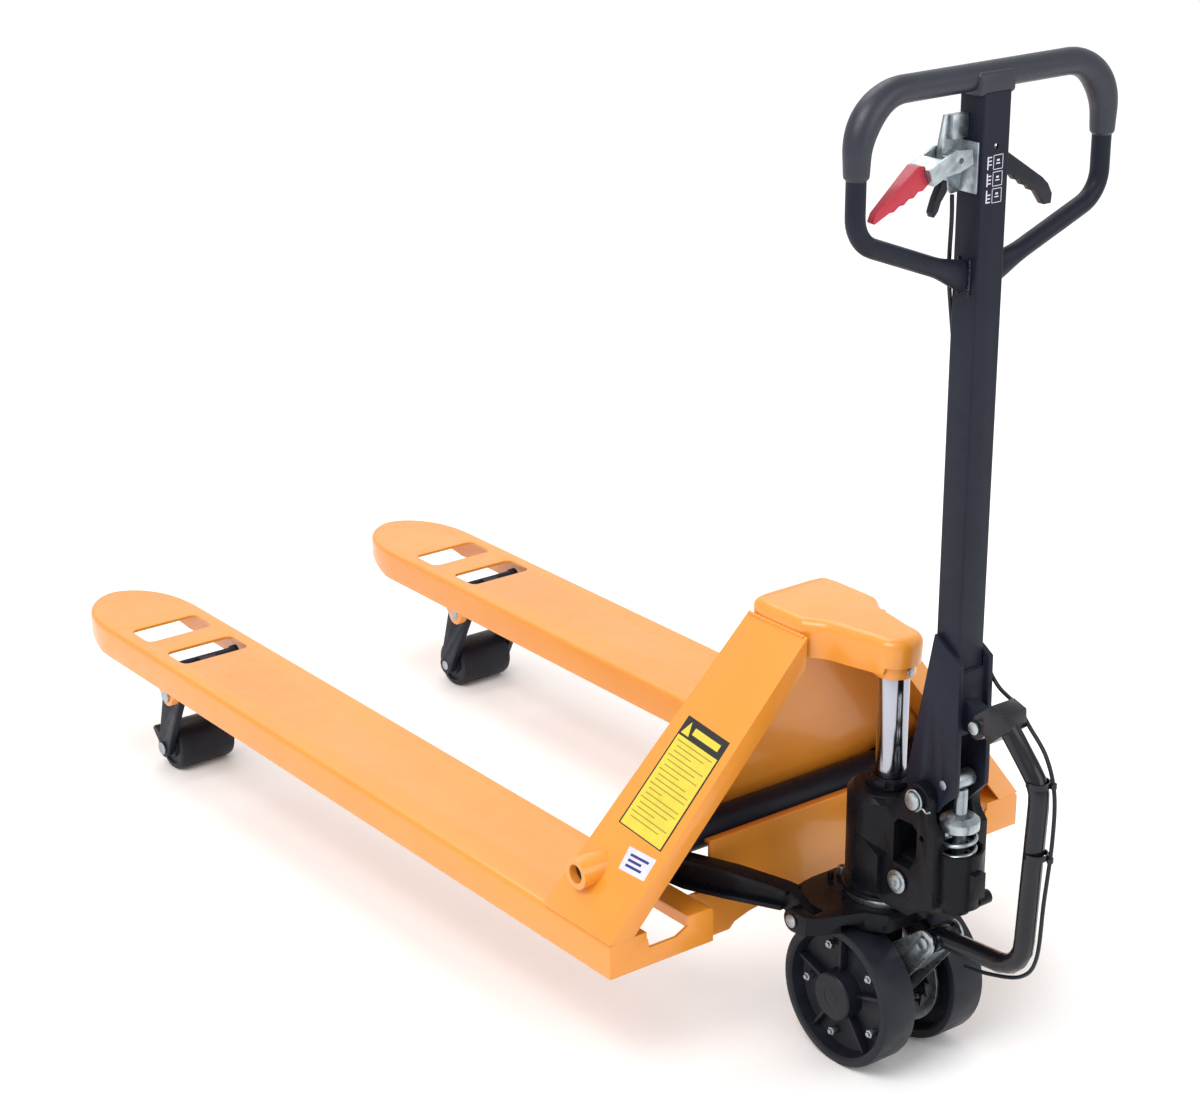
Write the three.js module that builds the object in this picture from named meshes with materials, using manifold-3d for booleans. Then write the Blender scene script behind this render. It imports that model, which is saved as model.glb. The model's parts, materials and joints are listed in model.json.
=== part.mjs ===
// Hydraulic hand pallet truck with a start-assist drive on its steering wheels.
// Millimetres, +Z up, floor at z = 0. The forks point along +Y and the operator stands at -Y.
// The truck is drawn raised: the forks are LIFT above their lowest height, the handle is upright
// and the wheels are straight.
import * as THREE from 'three';
import { mergeVertices } from 'three/addons/utils/BufferGeometryUtils.js';
import Module from 'manifold-3d';

const wasm = await Module();
wasm.setup();

// ---------------------------------------------------------------- driving dimensions
const LIFT = 115;
const GAP = 0.3;

const FORK = {
  overall: 685, heelStep: 0.5, heel: 138, width: 160, length: 1417, top: 203.5, depth: 47, sheet: 4.5,
  tipLength: 147,
};
const SLOT = { width: 112, length: 59, corner: 11, rear: 1107.5, front: 1217.5 };
const MEMBER = { topX: 64, topZ: 541, depth: 27, sheet: 5, back: 136, backTop: 80, frontTop: -29 };
const HOOD = {
  top: 559, bottom: 506, noseBottom: 514, half: 64, back: 86, shoulder: -20, noseRadius: 33, edge: 10,
};
const BOSS = { radius: 20, bore: 12.5, end: 326 };

const ROCKER = { y: 90, z: 258, tubeRadius: 22.5, tubeHalf: 268, lever: 65.6, leverLean: 18.54 };
const LINK_PIN = { x: 127, y: -81.5, z: 200.5, radius: 7, drift: 9.6 };
const BASE = { top: 214, bottom: 190, radius: 84, half: 96, front: -126, nose: -164 };

const STEER_Y = -113;
const WHEEL = { radius: 94, inner: 32, outer: 82, rim: 12, recess: 17, hub: 31, bore: 12.5, ribs: 5 };
const AXLE = { y: STEER_Y, z: WHEEL.radius, radius: 12 };
const PISTON = { radius: 19, bottom: 345, top: 524, bossRadius: 25, bossBottom: 507 };
const PUMP = { radius: 52, bottom: 226, top: 362, cheekIn: 29, cheekOut: 43, front: -236 };
const HANDLE_PIVOT = { y: -204, z: 386 };
const PLUNGER = { y: -233, rod: 8, cap: 24, capTop: 367, pot: 31, potBore: 27, potTop: 321, potFloor: 262 };
const PLUNGER_ROLLER = { y: -230, z: 409.5, radius: 11 };

const STEM = { half: 20, front: -238, back: -200, bottom: 470, top: 1212.5, wall: 3 };
const LOOP = {
  y: -219, half: 183, barZ: 1228, radius: 11, grip: 15, corner: 62, lowBend: 1075.5, lowCorner: 40,
  lowEnd: 1013,
};
const CONTROL_PIVOT = { x: 0, z: 1131 };
const START_PIVOT = { x: -50, z: 1146 };

const START_LINK = {
  upperY: -268, upperZ: 494, lowerY: -208, lowerZ: 190, radius: 12.5, drift: [4.8, -5],
};

const LOAD_ARM = { pivotY: 1106, pivotZ: 149, axleY: 1161, axleZ: 37.4, rodPin: 38.6, rodPinAngle: 57.35 };
const LOAD_ROLLER = { radius: 37.4, half: 46.5 };

// ---------------------------------------------------------------- materials
const material = (color, roughness, metalness = 0) =>
  new THREE.MeshStandardMaterial({ color, roughness, metalness });
const paint = () => material(0xf2a13c, 0.35);
const blackPaint = () => material(0x2b2d33, 0.4);
const casting = () => material(0x26282d, 0.55);
const zinc = () => material(0xaab4bc, 0.35, 0.9);
const chrome = () => material(0xd8dce0, 0.08, 1);
const blackPlastic = () => material(0x1f2125, 0.5);
const redVinyl = () => material(0xd6404f, 0.35);

// ---------------------------------------------------------------- geometry helpers
const radians = THREE.MathUtils.degToRad;
const point = (x, y) => new THREE.Vector2(x, y);

// A flat outline pushed along an axis. Across X the outline is (Y, Z), across Y it is (X, Z)
// and across Z it is (X, Y).
function prism(outline, axis, from, to) {
  const shape = Array.isArray(outline) ? new THREE.Shape(outline.map(([u, v]) => point(u, v))) : outline;
  const options = { depth: to - from, bevelEnabled: false, curveSegments: 8 };
  const geometry = new THREE.ExtrudeGeometry(shape, options);
  if (axis === 'z') return geometry.translate(0, 0, from);
  if (axis === 'y') return geometry.translate(0, 0, -to).rotateX(Math.PI / 2);
  return geometry.translate(0, 0, from).applyMatrix4(new THREE.Matrix4().set(
    0, 0, 1, 0, 1, 0, 0, 0, 0, 1, 0, 0, 0, 0, 0, 1));
}

function box(x0, x1, y0, y1, z0, z1) {
  return new THREE.BoxGeometry(x1 - x0, y1 - y0, z1 - z0)
    .translate((x0 + x1) / 2, (y0 + y1) / 2, (z0 + z1) / 2);
}

// A round bar along X between two lateral places, at (y, z).
function barX(radius, x0, x1, y, z, sides = 20) {
  return new THREE.CylinderGeometry(radius, radius, x1 - x0, sides)
    .rotateZ(Math.PI / 2).translate((x0 + x1) / 2, y, z);
}

function barY(radius, y0, y1, x, z, sides = 16) {
  return new THREE.CylinderGeometry(radius, radius, y1 - y0, sides).translate(x, (y0 + y1) / 2, z);
}

// A round bar or cone standing on z0.
function barZ(radius, z0, z1, x, y, sides = 32, topRadius = radius) {
  return new THREE.CylinderGeometry(topRadius, radius, z1 - z0, sides)
    .rotateX(Math.PI / 2).translate(x, y, (z0 + z1) / 2);
}

function circleShape(radius, sides = 24, centre = [0, 0]) {
  const corners = [];
  for (let i = 0; i < sides; i += 1) {
    const a = (2 * Math.PI * i) / sides;
    corners.push(point(centre[0] + radius * Math.cos(a), centre[1] + radius * Math.sin(a)));
  }
  return new THREE.Shape(corners);
}

function roundedRectangle(halfU, halfV, radius, centre = [0, 0]) {
  const corners = [];
  const inset = [[1, 1, 0], [-1, 1, 90], [-1, -1, 180], [1, -1, 270]];
  for (const [su, sv, start] of inset) {
    for (let i = 0; i <= 4; i += 1) {
      const a = radians(start + 22.5 * i);
      corners.push([centre[0] + su * (halfU - radius) + radius * Math.cos(a),
        centre[1] + sv * (halfV - radius) + radius * Math.sin(a)]);
    }
  }
  return corners;
}

// A path of straight runs whose inner points are rounded by the radii, in order.
function roundedPath(points, radii) {
  const path = new THREE.CurvePath();
  let start = points[0];
  for (let i = 1; i < points.length - 1; i += 1) {
    const into = points[i].clone().sub(points[i - 1]).normalize();
    const out = points[i + 1].clone().sub(points[i]).normalize();
    const turn = Math.acos(THREE.MathUtils.clamp(into.dot(out), -1, 1));
    const trim = radii[i - 1] * Math.tan(turn / 2);
    const a = points[i].clone().addScaledVector(into, -trim);
    const b = points[i].clone().addScaledVector(out, trim);
    path.add(new THREE.LineCurve3(start, a));
    const bow = (4 / 3) * radii[i - 1] * Math.tan(turn / 4);
    path.add(new THREE.CubicBezierCurve3(a, a.clone().addScaledVector(into, bow),
      b.clone().addScaledVector(out, -bow), b));
    start = b;
  }
  path.add(new THREE.LineCurve3(start, points[points.length - 1]));
  return path;
}

function sweep(path, radius, sides, steps, bore = 0) {
  const section = circleShape(radius, sides);
  if (bore > 0) section.holes.push(new THREE.Path(circleShape(bore, sides).getPoints().reverse()));
  return new THREE.ExtrudeGeometry(section, { steps, extrudePath: path, bevelEnabled: false });
}

// ---------------------------------------------------------------- joining and cutting
function solid(geometry) {
  const bare = geometry.clone();
  bare.deleteAttribute('normal');
  bare.deleteAttribute('uv');
  const merged = mergeVertices(bare, 1e-3);
  return new wasm.Manifold(new wasm.Mesh({
    numProp: 3,
    vertProperties: new Float32Array(merged.attributes.position.array),
    triVerts: new Uint32Array(merged.index.array),
  }));
}

function geometryOf(body) {
  const mesh = body.getMesh();
  const geometry = new THREE.BufferGeometry();
  geometry.setAttribute('position', new THREE.BufferAttribute(mesh.vertProperties, 3));
  geometry.setIndex(new THREE.BufferAttribute(mesh.triVerts, 1));
  return geometry;
}

const join = (...pieces) => geometryOf(pieces.map(solid).reduce((a, b) => a.add(b)));
const cut = (base, ...tools) => geometryOf(tools.map(solid).reduce((a, b) => a.subtract(b), solid(base)));
const common = (a, b) => geometryOf(solid(a).intersect(solid(b)));

// The same shape on the other side of the middle plane.
function mirrored(geometry) {
  const copy = geometry.index ? geometry.clone() : mergeVertices(geometry.clone());
  copy.scale(-1, 1, 1);
  const index = copy.index.array;
  for (let i = 0; i < index.length; i += 3) [index[i], index[i + 1]] = [index[i + 1], index[i]];
  return copy;
}

// ---------------------------------------------------------------- scene graph helpers
const truck = new THREE.Group();
const chassis = new THREE.Group();
const steering = new THREE.Group();
const handle = new THREE.Group();
truck.add(chassis, steering, handle);

function add(group, name, geometry, finish, position) {
  const mesh = new THREE.Mesh(geometry, finish);
  mesh.name = name;
  if (position) mesh.position.set(...position);
  group.add(mesh);
  return mesh;
}

function addPair(group, name, leftGeometry, finish) {
  add(group, `${name}_left`, leftGeometry, finish());
  add(group, `${name}_right`, mirrored(leftGeometry), finish());
}

const half = FORK.overall / 2;
const forkX = -(half - FORK.width / 2);
const forkBottom = FORK.top - FORK.depth;

// ---------------------------------------------------------------- forks
// Plan outline of the left fork, moved in by inset: straight sides and a blunt rounded tip.
function forkPlan(inset, heel) {
  const reach = FORK.width / 2 - inset;
  const tipStart = FORK.length - FORK.tipLength;
  const tipLength = FORK.tipLength - inset;
  const outline = [[forkX - reach, heel], [forkX + reach, heel]];
  const side = [];
  for (let i = 0; i <= 10; i += 1) {
    const t = Math.sin((Math.PI / 2) * (i / 10));
    side.push([reach * (1 - t ** 2.5) ** (1 / 1.75), tipStart + tipLength * t]);
  }
  for (const [u, y] of side) outline.push([forkX + u, y]);
  for (const [u, y] of side.slice(0, -1).reverse()) outline.push([forkX - u, y]);
  return outline;
}

function forkLug(sign) {
  const { pivotY, pivotZ } = LOAD_ARM;
  const outline = [[pivotY + 46, FORK.top - 2], [pivotY - 46, FORK.top - 2], [pivotY - 30, forkBottom + 3]];
  for (let a = 200; a <= 340; a += 20) {
    outline.push([pivotY + 17 * Math.cos(radians(a)), pivotZ + 17 * Math.sin(radians(a))]);
  }
  outline.push([pivotY + 18, forkBottom + 3]);
  const near = sign > 0 ? 62 : -76;
  return prism(outline, 'x', forkX + near, forkX + near + 14);
}

function forkGeometry() {
  const { sheet, top, length } = FORK;
  const shell = cut(
    prism(forkPlan(0, 0), 'z', forkBottom, top),
    prism(forkPlan(sheet, sheet), 'z', forkBottom - 1, top - sheet),
    prism([[1300, forkBottom - 1], [length + 1, forkBottom - 1], [length + 1, top - 18], [1304, forkBottom]],
      'x', -half - 1, 0),
  );
  const withLugs = join(shell, forkLug(1), forkLug(-1));
  const slots = [SLOT.rear, SLOT.front].map((y) => prism(
    roundedRectangle(SLOT.width / 2, SLOT.length / 2, SLOT.corner, [forkX, y]), 'z', top - 20, top + 1));
  const window = prism([[forkX - 20, 181], [forkX + 22, 181], [forkX + 40, 190], [forkX + 40, top + 1],
    [forkX - 24, top + 1]], 'y', -1, sheet + 1);
  const heelStep = box(forkX - 90, forkX + 90, -1, FORK.heel, top - FORK.heelStep, top + 1);
  const leverWell = box(forkX - 24, forkX + 40, -1, 134, top - 10, top + 1);
  const pinHole = barX(9 + GAP, forkX - 79, forkX + 79, LOAD_ARM.pivotY, LOAD_ARM.pivotZ, 16);
  const headHole = barX(12, forkX - 81, forkX - 75.8, LOAD_ARM.pivotY, LOAD_ARM.pivotZ, 16);
  return cut(withLugs, ...slots, window, heelStep, leverWell, pinHole, headHole);
}
addPair(chassis, 'fork', forkGeometry(), paint);

// ---------------------------------------------------------------- side members and hood
// A side member is a folded channel that leans in from the fork's outer edge to the hood.
const rise = MEMBER.topZ - FORK.top;
const run = half - MEMBER.topX;
const slope = Math.hypot(rise, run);

function memberGeometry() {
  const { depth, sheet, back, backTop, frontTop } = MEMBER;
  const trapezium = (inset, before, after) => {
    const width = (s) => [
      THREE.MathUtils.lerp(0, frontTop, s / slope) + inset,
      THREE.MathUtils.lerp(back, backTop, s / slope) - inset,
    ];
    const [f0, b0] = width(-before);
    const [f1, b1] = width(slope + after);
    return [[-before, f0], [slope + after, f1], [slope + after, b1], [-before, b0]];
  };
  const lean = new THREE.Matrix4().makeBasis(
    new THREE.Vector3(run / slope, 0, rise / slope),
    new THREE.Vector3(0, 1, 0),
    new THREE.Vector3(-rise / slope, 0, run / slope),
  ).setPosition(-half, 0, FORK.top);
  const placed = (geometry) => geometry.applyMatrix4(lean);
  const channel = cut(
    placed(prism(trapezium(0, 60, 60), 'z', -depth, 0)),
    placed(prism(trapezium(sheet, 80, 80), 'z', -depth - 1, -sheet)),
  );
  const keep = box(-half, -MEMBER.topX - GAP, -100, 200, FORK.top - FORK.heelStep + GAP,
    MEMBER.topZ + 40);
  const boss = barX(BOSS.radius, -BOSS.end, -284, ROCKER.y, ROCKER.z, 28);
  const bore = barX(BOSS.bore, -BOSS.end - 1, -260, ROCKER.y, ROCKER.z, 20);
  return cut(join(common(channel, keep), boss), bore);
}
addPair(chassis, 'side_member', memberGeometry(), paint);

function hoodPlan(inset) {
  const { half: wide, back, shoulder, noseRadius } = HOOD;
  const side = [[wide - inset - 8, back - inset], [wide - inset, back - inset - 8],
    [wide - inset, shoulder + inset + 6], [wide - inset - 8, shoulder + inset - 3],
    [46 - inset, shoulder - 14 + inset], [40 - inset, shoulder - 34], [noseRadius - inset, STEER_Y + 16]];
  for (let a = 0; a > -90; a -= 22.5) {
    const reach = noseRadius - inset;
    side.push([reach * Math.cos(radians(a)), STEER_Y + reach * Math.sin(radians(a))]);
  }
  const tip = [0, STEER_Y - noseRadius + inset];
  return [...side, tip, ...side.map(([x, y]) => [-x, y]).reverse()].reverse();
}

function hoodGeometry() {
  const { top, bottom, noseBottom, edge } = HOOD;
  const layers = [
    prism(hoodPlan(0), 'z', bottom, top - edge),
    prism(hoodPlan(1.3), 'z', top - edge - 1, top - edge * 0.5),
    prism(hoodPlan(5), 'z', top - edge - 1, top - edge * 0.13),
    prism(hoodPlan(9), 'z', top - edge - 1, top),
  ];
  const hollow = cut(join(...layers), prism(hoodPlan(6), 'z', bottom - 1, top - 22));
  const boss = barZ(PISTON.bossRadius, PISTON.bossBottom, top - 20, 0, STEER_Y);
  const bore = barZ(PISTON.radius + GAP, PISTON.bossBottom - 1, PISTON.top + GAP, 0, STEER_Y);
  const screwHole = barY(4, STEER_Y - 40, STEER_Y, 0, PISTON.bossBottom + 9);
  const lip = prism([[STEER_Y - 40, bottom - 1], [STEER_Y - 6, bottom - 1], [STEER_Y - 14, bottom + 17],
    [STEER_Y - 40, bottom + 17]], 'x', -40, 40);
  const risingEdge = prism([[HOOD.back + 1, bottom - 1], [HOOD.back + 1, bottom], [STEER_Y - 40, noseBottom],
    [STEER_Y - 40, bottom - 1]].reverse(), 'x', -70, 70);
  const shell = cut(hollow, lip, risingEdge);
  return cut(join(shell, boss), bore, screwHole);
}
add(chassis, 'hood', hoodGeometry(), paint());

function innerWallGeometry() {
  const slant = (MEMBER.backTop - MEMBER.back) / rise;
  const atBack = (z) => MEMBER.back + slant * (z - FORK.top) - MEMBER.sheet - 3.4;
  const wallBottom = ROCKER.z - 22;
  const wall = 2.5;
  const wallTop = HOOD.bottom - GAP;
  const slab = prism([[atBack(wallBottom), wallBottom], [atBack(wallBottom) - wall, wallBottom],
    [atBack(wallTop) - wall, wallTop], [atBack(wallTop), wallTop]], 'x', -300, 300);
  const inside = (z) => half - (z - FORK.top) * (run / rise) - 9;
  const trim = prism([[-inside(wallBottom), wallBottom - 1], [inside(wallBottom), wallBottom - 1],
    [inside(wallTop), wallTop + 1], [-inside(wallTop), wallTop + 1]], 'y', 0, 200);
  return common(slab, trim);
}
add(chassis, 'inner_wall', innerWallGeometry(), paint());

// A folded plate between the forks, arched underneath and notched for the two link arms.
function crossPlateGeometry() {
  const reach = half - FORK.width - GAP;
  const notch = 146;
  const outline = [[-reach, 132], [-150, 126]];
  for (let i = 0; i <= 8; i += 1) {
    const a = radians(180 - 22.5 * i);
    outline.push([112 * Math.cos(a), 126 + 22 * Math.sin(a)]);
  }
  const top = ROCKER.z + 3;
  const armRoom = 196;
  outline.push([150, 126], [reach, 132], [reach, armRoom], [notch, armRoom], [notch, top], [-notch, top],
    [-notch, armRoom], [-reach, armRoom]);
  const face = prism(outline, 'y', 52, 57);
  const fold = box(-notch, notch, 52, 64, top - 5, top);
  return cut(join(face, fold), barX(ROCKER.tubeRadius + 2, -reach - 1, reach + 1, ROCKER.y, ROCKER.z, 24));
}
add(chassis, 'cross_plate', crossPlateGeometry(), paint());

add(chassis, 'piston', barZ(PISTON.radius, PISTON.bottom, PISTON.top, 0, STEER_Y, 40), chrome());
add(chassis, 'piston_set_screw', join(
  barY(3.5, STEER_Y - 27, STEER_Y - PISTON.radius - GAP, 0, PISTON.bossBottom + 9),
  barY(5, STEER_Y - 29, STEER_Y - PISTON.bossRadius - GAP, 0, PISTON.bossBottom + 9),
), zinc());

addPair(chassis, 'rocker_pin', join(
  barX(10, -BOSS.end + 10, -236, ROCKER.y, ROCKER.z),
  barX(12, -BOSS.end + 10, -BOSS.end + 16, ROCKER.y, ROCKER.z),
), zinc);
addPair(chassis, 'arm_pivot_pin', join(
  barX(9, forkX - 77, forkX + 77, LOAD_ARM.pivotY, LOAD_ARM.pivotZ),
  barX(10.5, forkX - 79, forkX - 76 - GAP, LOAD_ARM.pivotY, LOAD_ARM.pivotZ),
), zinc);

// ---------------------------------------------------------------- rocker
// The levers hang inside the fork channels and drive the push rods.
function crossTubeGeometry() {
  const { y, z, tubeRadius, tubeHalf, lever, leverLean } = ROCKER;
  const lean = radians(leverLean);
  const pin = [y + lever * Math.sin(lean), z - lever * Math.cos(lean)];
  const leverOutline = [];
  for (let a = 0; a <= 180; a += 30) {
    const turn = radians(a) + lean;
    leverOutline.push([y + 20 * Math.cos(turn), z + 20 * Math.sin(turn)]);
  }
  for (let a = 180; a <= 360; a += 30) {
    const turn = radians(a) + lean;
    leverOutline.push([pin[0] + 9 * Math.cos(turn), pin[1] + 9 * Math.sin(turn)]);
  }
  const levers = [forkX - 6, -forkX - 6].map((x) => prism(leverOutline, 'x', x, x + 12));
  const tube = barX(tubeRadius, -tubeHalf, tubeHalf, y, z, 28);
  const bore = barX(tubeRadius - 5, -tubeHalf - 1, tubeHalf + 1, y, z, 20);
  return cut(join(tube, ...levers), bore);
}
add(chassis, 'cross_tube', crossTubeGeometry(), blackPaint());

// Outline of a round-ended slot along u, between two centres.
function slotOutline(from, to, radius) {
  const outline = [];
  for (const [centre, start] of [[to, -90], [from, 90]]) {
    for (let i = 0; i <= 6; i += 1) {
      const a = radians(start + 30 * i);
      outline.push([centre + radius * Math.cos(a), radius * Math.sin(a)]);
    }
  }
  return outline;
}

// Cast arm from a collar on the cross tube forward to the base plate's ear.
function linkArmGeometry() {
  const end = { x: -104, y: LINK_PIN.y, z: LINK_PIN.z };
  const root = { x: -192, y: ROCKER.y, z: ROCKER.z };
  const length = Math.hypot(end.y - root.y, end.z - root.z);
  const fall = Math.atan2(root.z - end.z, root.y - end.y);
  const bend = length - 30;
  const upperEdge = [[20, 5], [80, -10], [135, -18], [bend, -18]];
  const lowerEdge = [[bend, 13], [88, 33], [44, 45], [20, 46]];
  const strip = (edge, thickness) => [...edge, ...edge.map(([u, v]) => [u, v + thickness]).reverse()];
  // Local frame: u runs from the root to the pin, v is down, w is sideways. It drifts sideways by shear.
  const place = (geometry, x, shear) => geometry.applyMatrix4(new THREE.Matrix4().set(
    shear, 0, 1, x,
    -Math.cos(fall), Math.sin(fall), 0, root.y,
    -Math.sin(fall), -Math.cos(fall), 0, root.z,
    0, 0, 0, 1));
  const inward = (end.x - root.x) / bend;
  const web = prism([[0, 6], ...upperEdge, ...lowerEdge, [0, 24]], 'z', -4, 4);
  const upper = prism(strip(upperEdge, 7), 'z', -13, 13);
  const lower = prism(strip(lowerEdge, -7), 'z', -13, 13);
  const neck = prism([[bend - 10, -18], [length - 14, -18], [length, -13], [length, 12], [bend - 10, 14]],
    'z', -6.5, 6.5);
  const collar = barX(25.5, root.x - 15, root.x + 15, root.y, root.z, 24);
  const eye = barX(13, end.x - 6.5, end.x + 6.5, end.y, end.z, 20);
  const tubeBore = barX(ROCKER.tubeRadius + GAP, root.x - 40, root.x + 40, root.y, root.z, 28);
  // The eye is slotted, because the arm's length over the floor changes a little through the stroke.
  const slot = prism(slotOutline(length - LINK_PIN.drift, length, LINK_PIN.radius + 1.2), 'z', -20, 20);
  const pinBore = place(slot, end.x, 0);
  const ribs = [web, upper, lower].map((rib) => place(rib, root.x, inward));
  const arm = join(...ribs, place(neck, end.x, 0), collar, eye);
  return cut(arm, tubeBore, pinBore);
}
addPair(chassis, 'link_arm', linkArmGeometry(), casting);

// ---------------------------------------------------------------- push rods and load rollers
const rodPin = {
  y: LOAD_ARM.pivotY + LOAD_ARM.rodPin * Math.cos(radians(LOAD_ARM.rodPinAngle)),
  z: LOAD_ARM.pivotZ + LOAD_ARM.rodPin * Math.sin(radians(LOAD_ARM.rodPinAngle)),
};

function pushRodGeometry() {
  const lean = radians(ROCKER.leverLean);
  const startY = ROCKER.y + ROCKER.lever * Math.sin(lean) + 10;
  const endY = rodPin.y - 7.5;
  return join(
    prism([[startY, 176], [endY, 176], [endY, 188], [startY, 188]], 'x', forkX - 8, forkX + 8),
    prism([[startY, 176], [startY + 30, 176], [startY + 30, 194], [startY, 194]], 'x',
      forkX - 12, forkX + 12),
    prism([[endY - 30, 172], [endY, 172], [endY, 192], [endY - 30, 192]], 'x', forkX - 14, forkX + 14),
  );
}
addPair(chassis, 'push_rod', pushRodGeometry(), blackPaint);

// Outline of a bell-crank plate: rounded at the pivot, the roller axle and the rod pin.
function crankPlate() {
  const { pivotY, pivotZ, axleY, axleZ } = LOAD_ARM;
  const ends = [
    [axleY, axleZ, 15, 190, 400],
    [rodPin.y, rodPin.z, 9, -20, 130],
    [pivotY, pivotZ, 17, 130, 200],
  ];
  const outline = [];
  for (const [y, z, radius, from, to] of ends) {
    for (let i = 0; i <= 6; i += 1) {
      const a = radians(THREE.MathUtils.lerp(from, to, i / 6));
      outline.push([y + radius * Math.cos(a), z + radius * Math.sin(a)]);
    }
  }
  return outline;
}

function loadArmGeometry() {
  const { pivotY, pivotZ, axleY, axleZ } = LOAD_ARM;
  const plates = [-60, 50].map((x) => prism(crankPlate(), 'x', forkX + x, forkX + x + 10));
  const pin = barX(6.5, forkX - 55, forkX + 55, rodPin.y, rodPin.z, 14);
  const horn = prism([[axleY + 4, axleZ + 22], [axleY + 24, axleZ + 30], [axleY + 29, axleZ + 24],
    [axleY + 10, axleZ + 4]], 'x', forkX - 60, forkX - 50);
  const tie = barX(16, forkX - 52, forkX + 52, pivotY, pivotZ, 16);
  const pivotBore = barX(9 + GAP, forkX - 61, forkX + 61, pivotY, pivotZ, 16);
  const axleBore = barX(8 + GAP, forkX - 61, forkX + 61, axleY, axleZ, 16);
  return cut(join(...plates, pin, horn, tie), pivotBore, axleBore);
}
addPair(chassis, 'load_arm', loadArmGeometry(), blackPaint);

addPair(chassis, 'load_axle', join(
  barX(8, forkX - 61, forkX + 61, LOAD_ARM.axleY, LOAD_ARM.axleZ),
  barX(10, forkX - 63, forkX - 60 - GAP, LOAD_ARM.axleY, LOAD_ARM.axleZ),
), zinc);

// Profiles are (radius, place along the axle); the lathe axis is turned onto X.
function latheX(profile, segments) {
  return new THREE.LatheGeometry(profile.map(([r, x]) => point(r, x)), segments).rotateZ(-Math.PI / 2);
}

function loadRollerGeometry() {
  const { radius, half: wide } = LOAD_ROLLER;
  const bore = 8 + GAP;
  return latheX([[bore, -wide], [17, -wide], [18, -wide + 3], [27, -wide + 3], [28, -wide],
    [radius - 3, -wide], [radius, -wide + 3], [radius, wide - 3], [radius - 3, wide], [28, wide],
    [27, wide - 3], [18, wide - 3], [17, wide], [bore, wide], [bore, -wide]], 30);
}
for (const [name, x] of [['load_roller_left', forkX], ['load_roller_right', -forkX]]) {
  add(chassis, name, loadRollerGeometry(), blackPlastic(), [x, LOAD_ARM.axleY, LOAD_ARM.axleZ]);
}

// ---------------------------------------------------------------- base plate
function basePlateGeometry() {
  const { top, bottom, radius, half: wide, front, nose } = BASE;
  const outline = [[44, nose], [60, -140], [110, front + 7], [120, front + 14], [126, -106], [wide, -106],
    [wide, -72], [88, -60], [90, -50], [88, -42], [80, -36], [64, -32], [48, -29.5]];
  outline.push([0, STEER_Y + radius], ...outline.map(([x, y]) => [-x, y]).reverse());
  const ears = [];
  for (const side of [-1, 1]) {
    const outside = [[LINK_PIN.y - 26, bottom - 2], [LINK_PIN.y - 26, top], [LINK_PIN.y + 6, top]];
    for (let a = 70; a >= -90; a -= 20) {
      outside.push([LINK_PIN.y + 15 * Math.cos(radians(a)), LINK_PIN.z + 15 * Math.sin(radians(a))]);
    }
    const x0 = side < 0 ? -LINK_PIN.x + 1 : LINK_PIN.x - 14;
    ears.push(prism(outside.reverse(), 'x', x0, x0 + 13));
  }
  // Room under the plate for the ratchet arm to swing with the steering.
  const swingRoom = cut(
    barZ(130, bottom - 3, bottom + 10, 0, STEER_Y),
    barZ(66, bottom - 4, bottom + 11, 0, STEER_Y),
    box(-140, 140, STEER_Y - 4, 60, bottom - 4, bottom + 11),
    box(88, 140, -250, 60, bottom - 4, bottom + 11),
    box(-140, -88, -250, 60, bottom - 4, bottom + 11),
  );
  const holes = [barZ(26, bottom - 1, top + 1, 0, STEER_Y), swingRoom,
    barX(LINK_PIN.radius + GAP, -LINK_PIN.x - 2, -80, LINK_PIN.y, LINK_PIN.z, 16),
    barX(LINK_PIN.radius + GAP, 80, LINK_PIN.x + 2, LINK_PIN.y, LINK_PIN.z, 16)];
  return cut(join(prism(outline, 'z', bottom, top), ...ears), ...holes);
}
add(truck, 'base_plate', basePlateGeometry(), casting());
addPair(truck, 'link_pin', join(
  barX(LINK_PIN.radius, -LINK_PIN.x, -82, LINK_PIN.y, LINK_PIN.z),
  barX(LINK_PIN.radius + 1.6, -LINK_PIN.x - 2, -LINK_PIN.x + 1 - GAP, LINK_PIN.y, LINK_PIN.z),
), zinc);

// ---------------------------------------------------------------- pump unit
// Side outline of one pump cheek, with the lug that carries the handle pin.
function cheekOutline() {
  const { bottom, top, front } = PUMP;
  const lug = [];
  for (let a = 150; a >= -30; a -= 22.5) {
    const turn = radians(a);
    lug.push([HANDLE_PIVOT.y - 20 * Math.cos(turn), HANDLE_PIVOT.z + 20 * Math.sin(turn)]);
  }
  const body = [[STEER_Y - 10, bottom + 2], [STEER_Y - 10, top - 1], [-160, top - 1]];
  return [...body, ...lug.map(([y, z]) => [y, z]), [-224, 360], [front, 346], [front, 252],
    [-214, bottom + 16], [-196, bottom + 2]];
}

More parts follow.
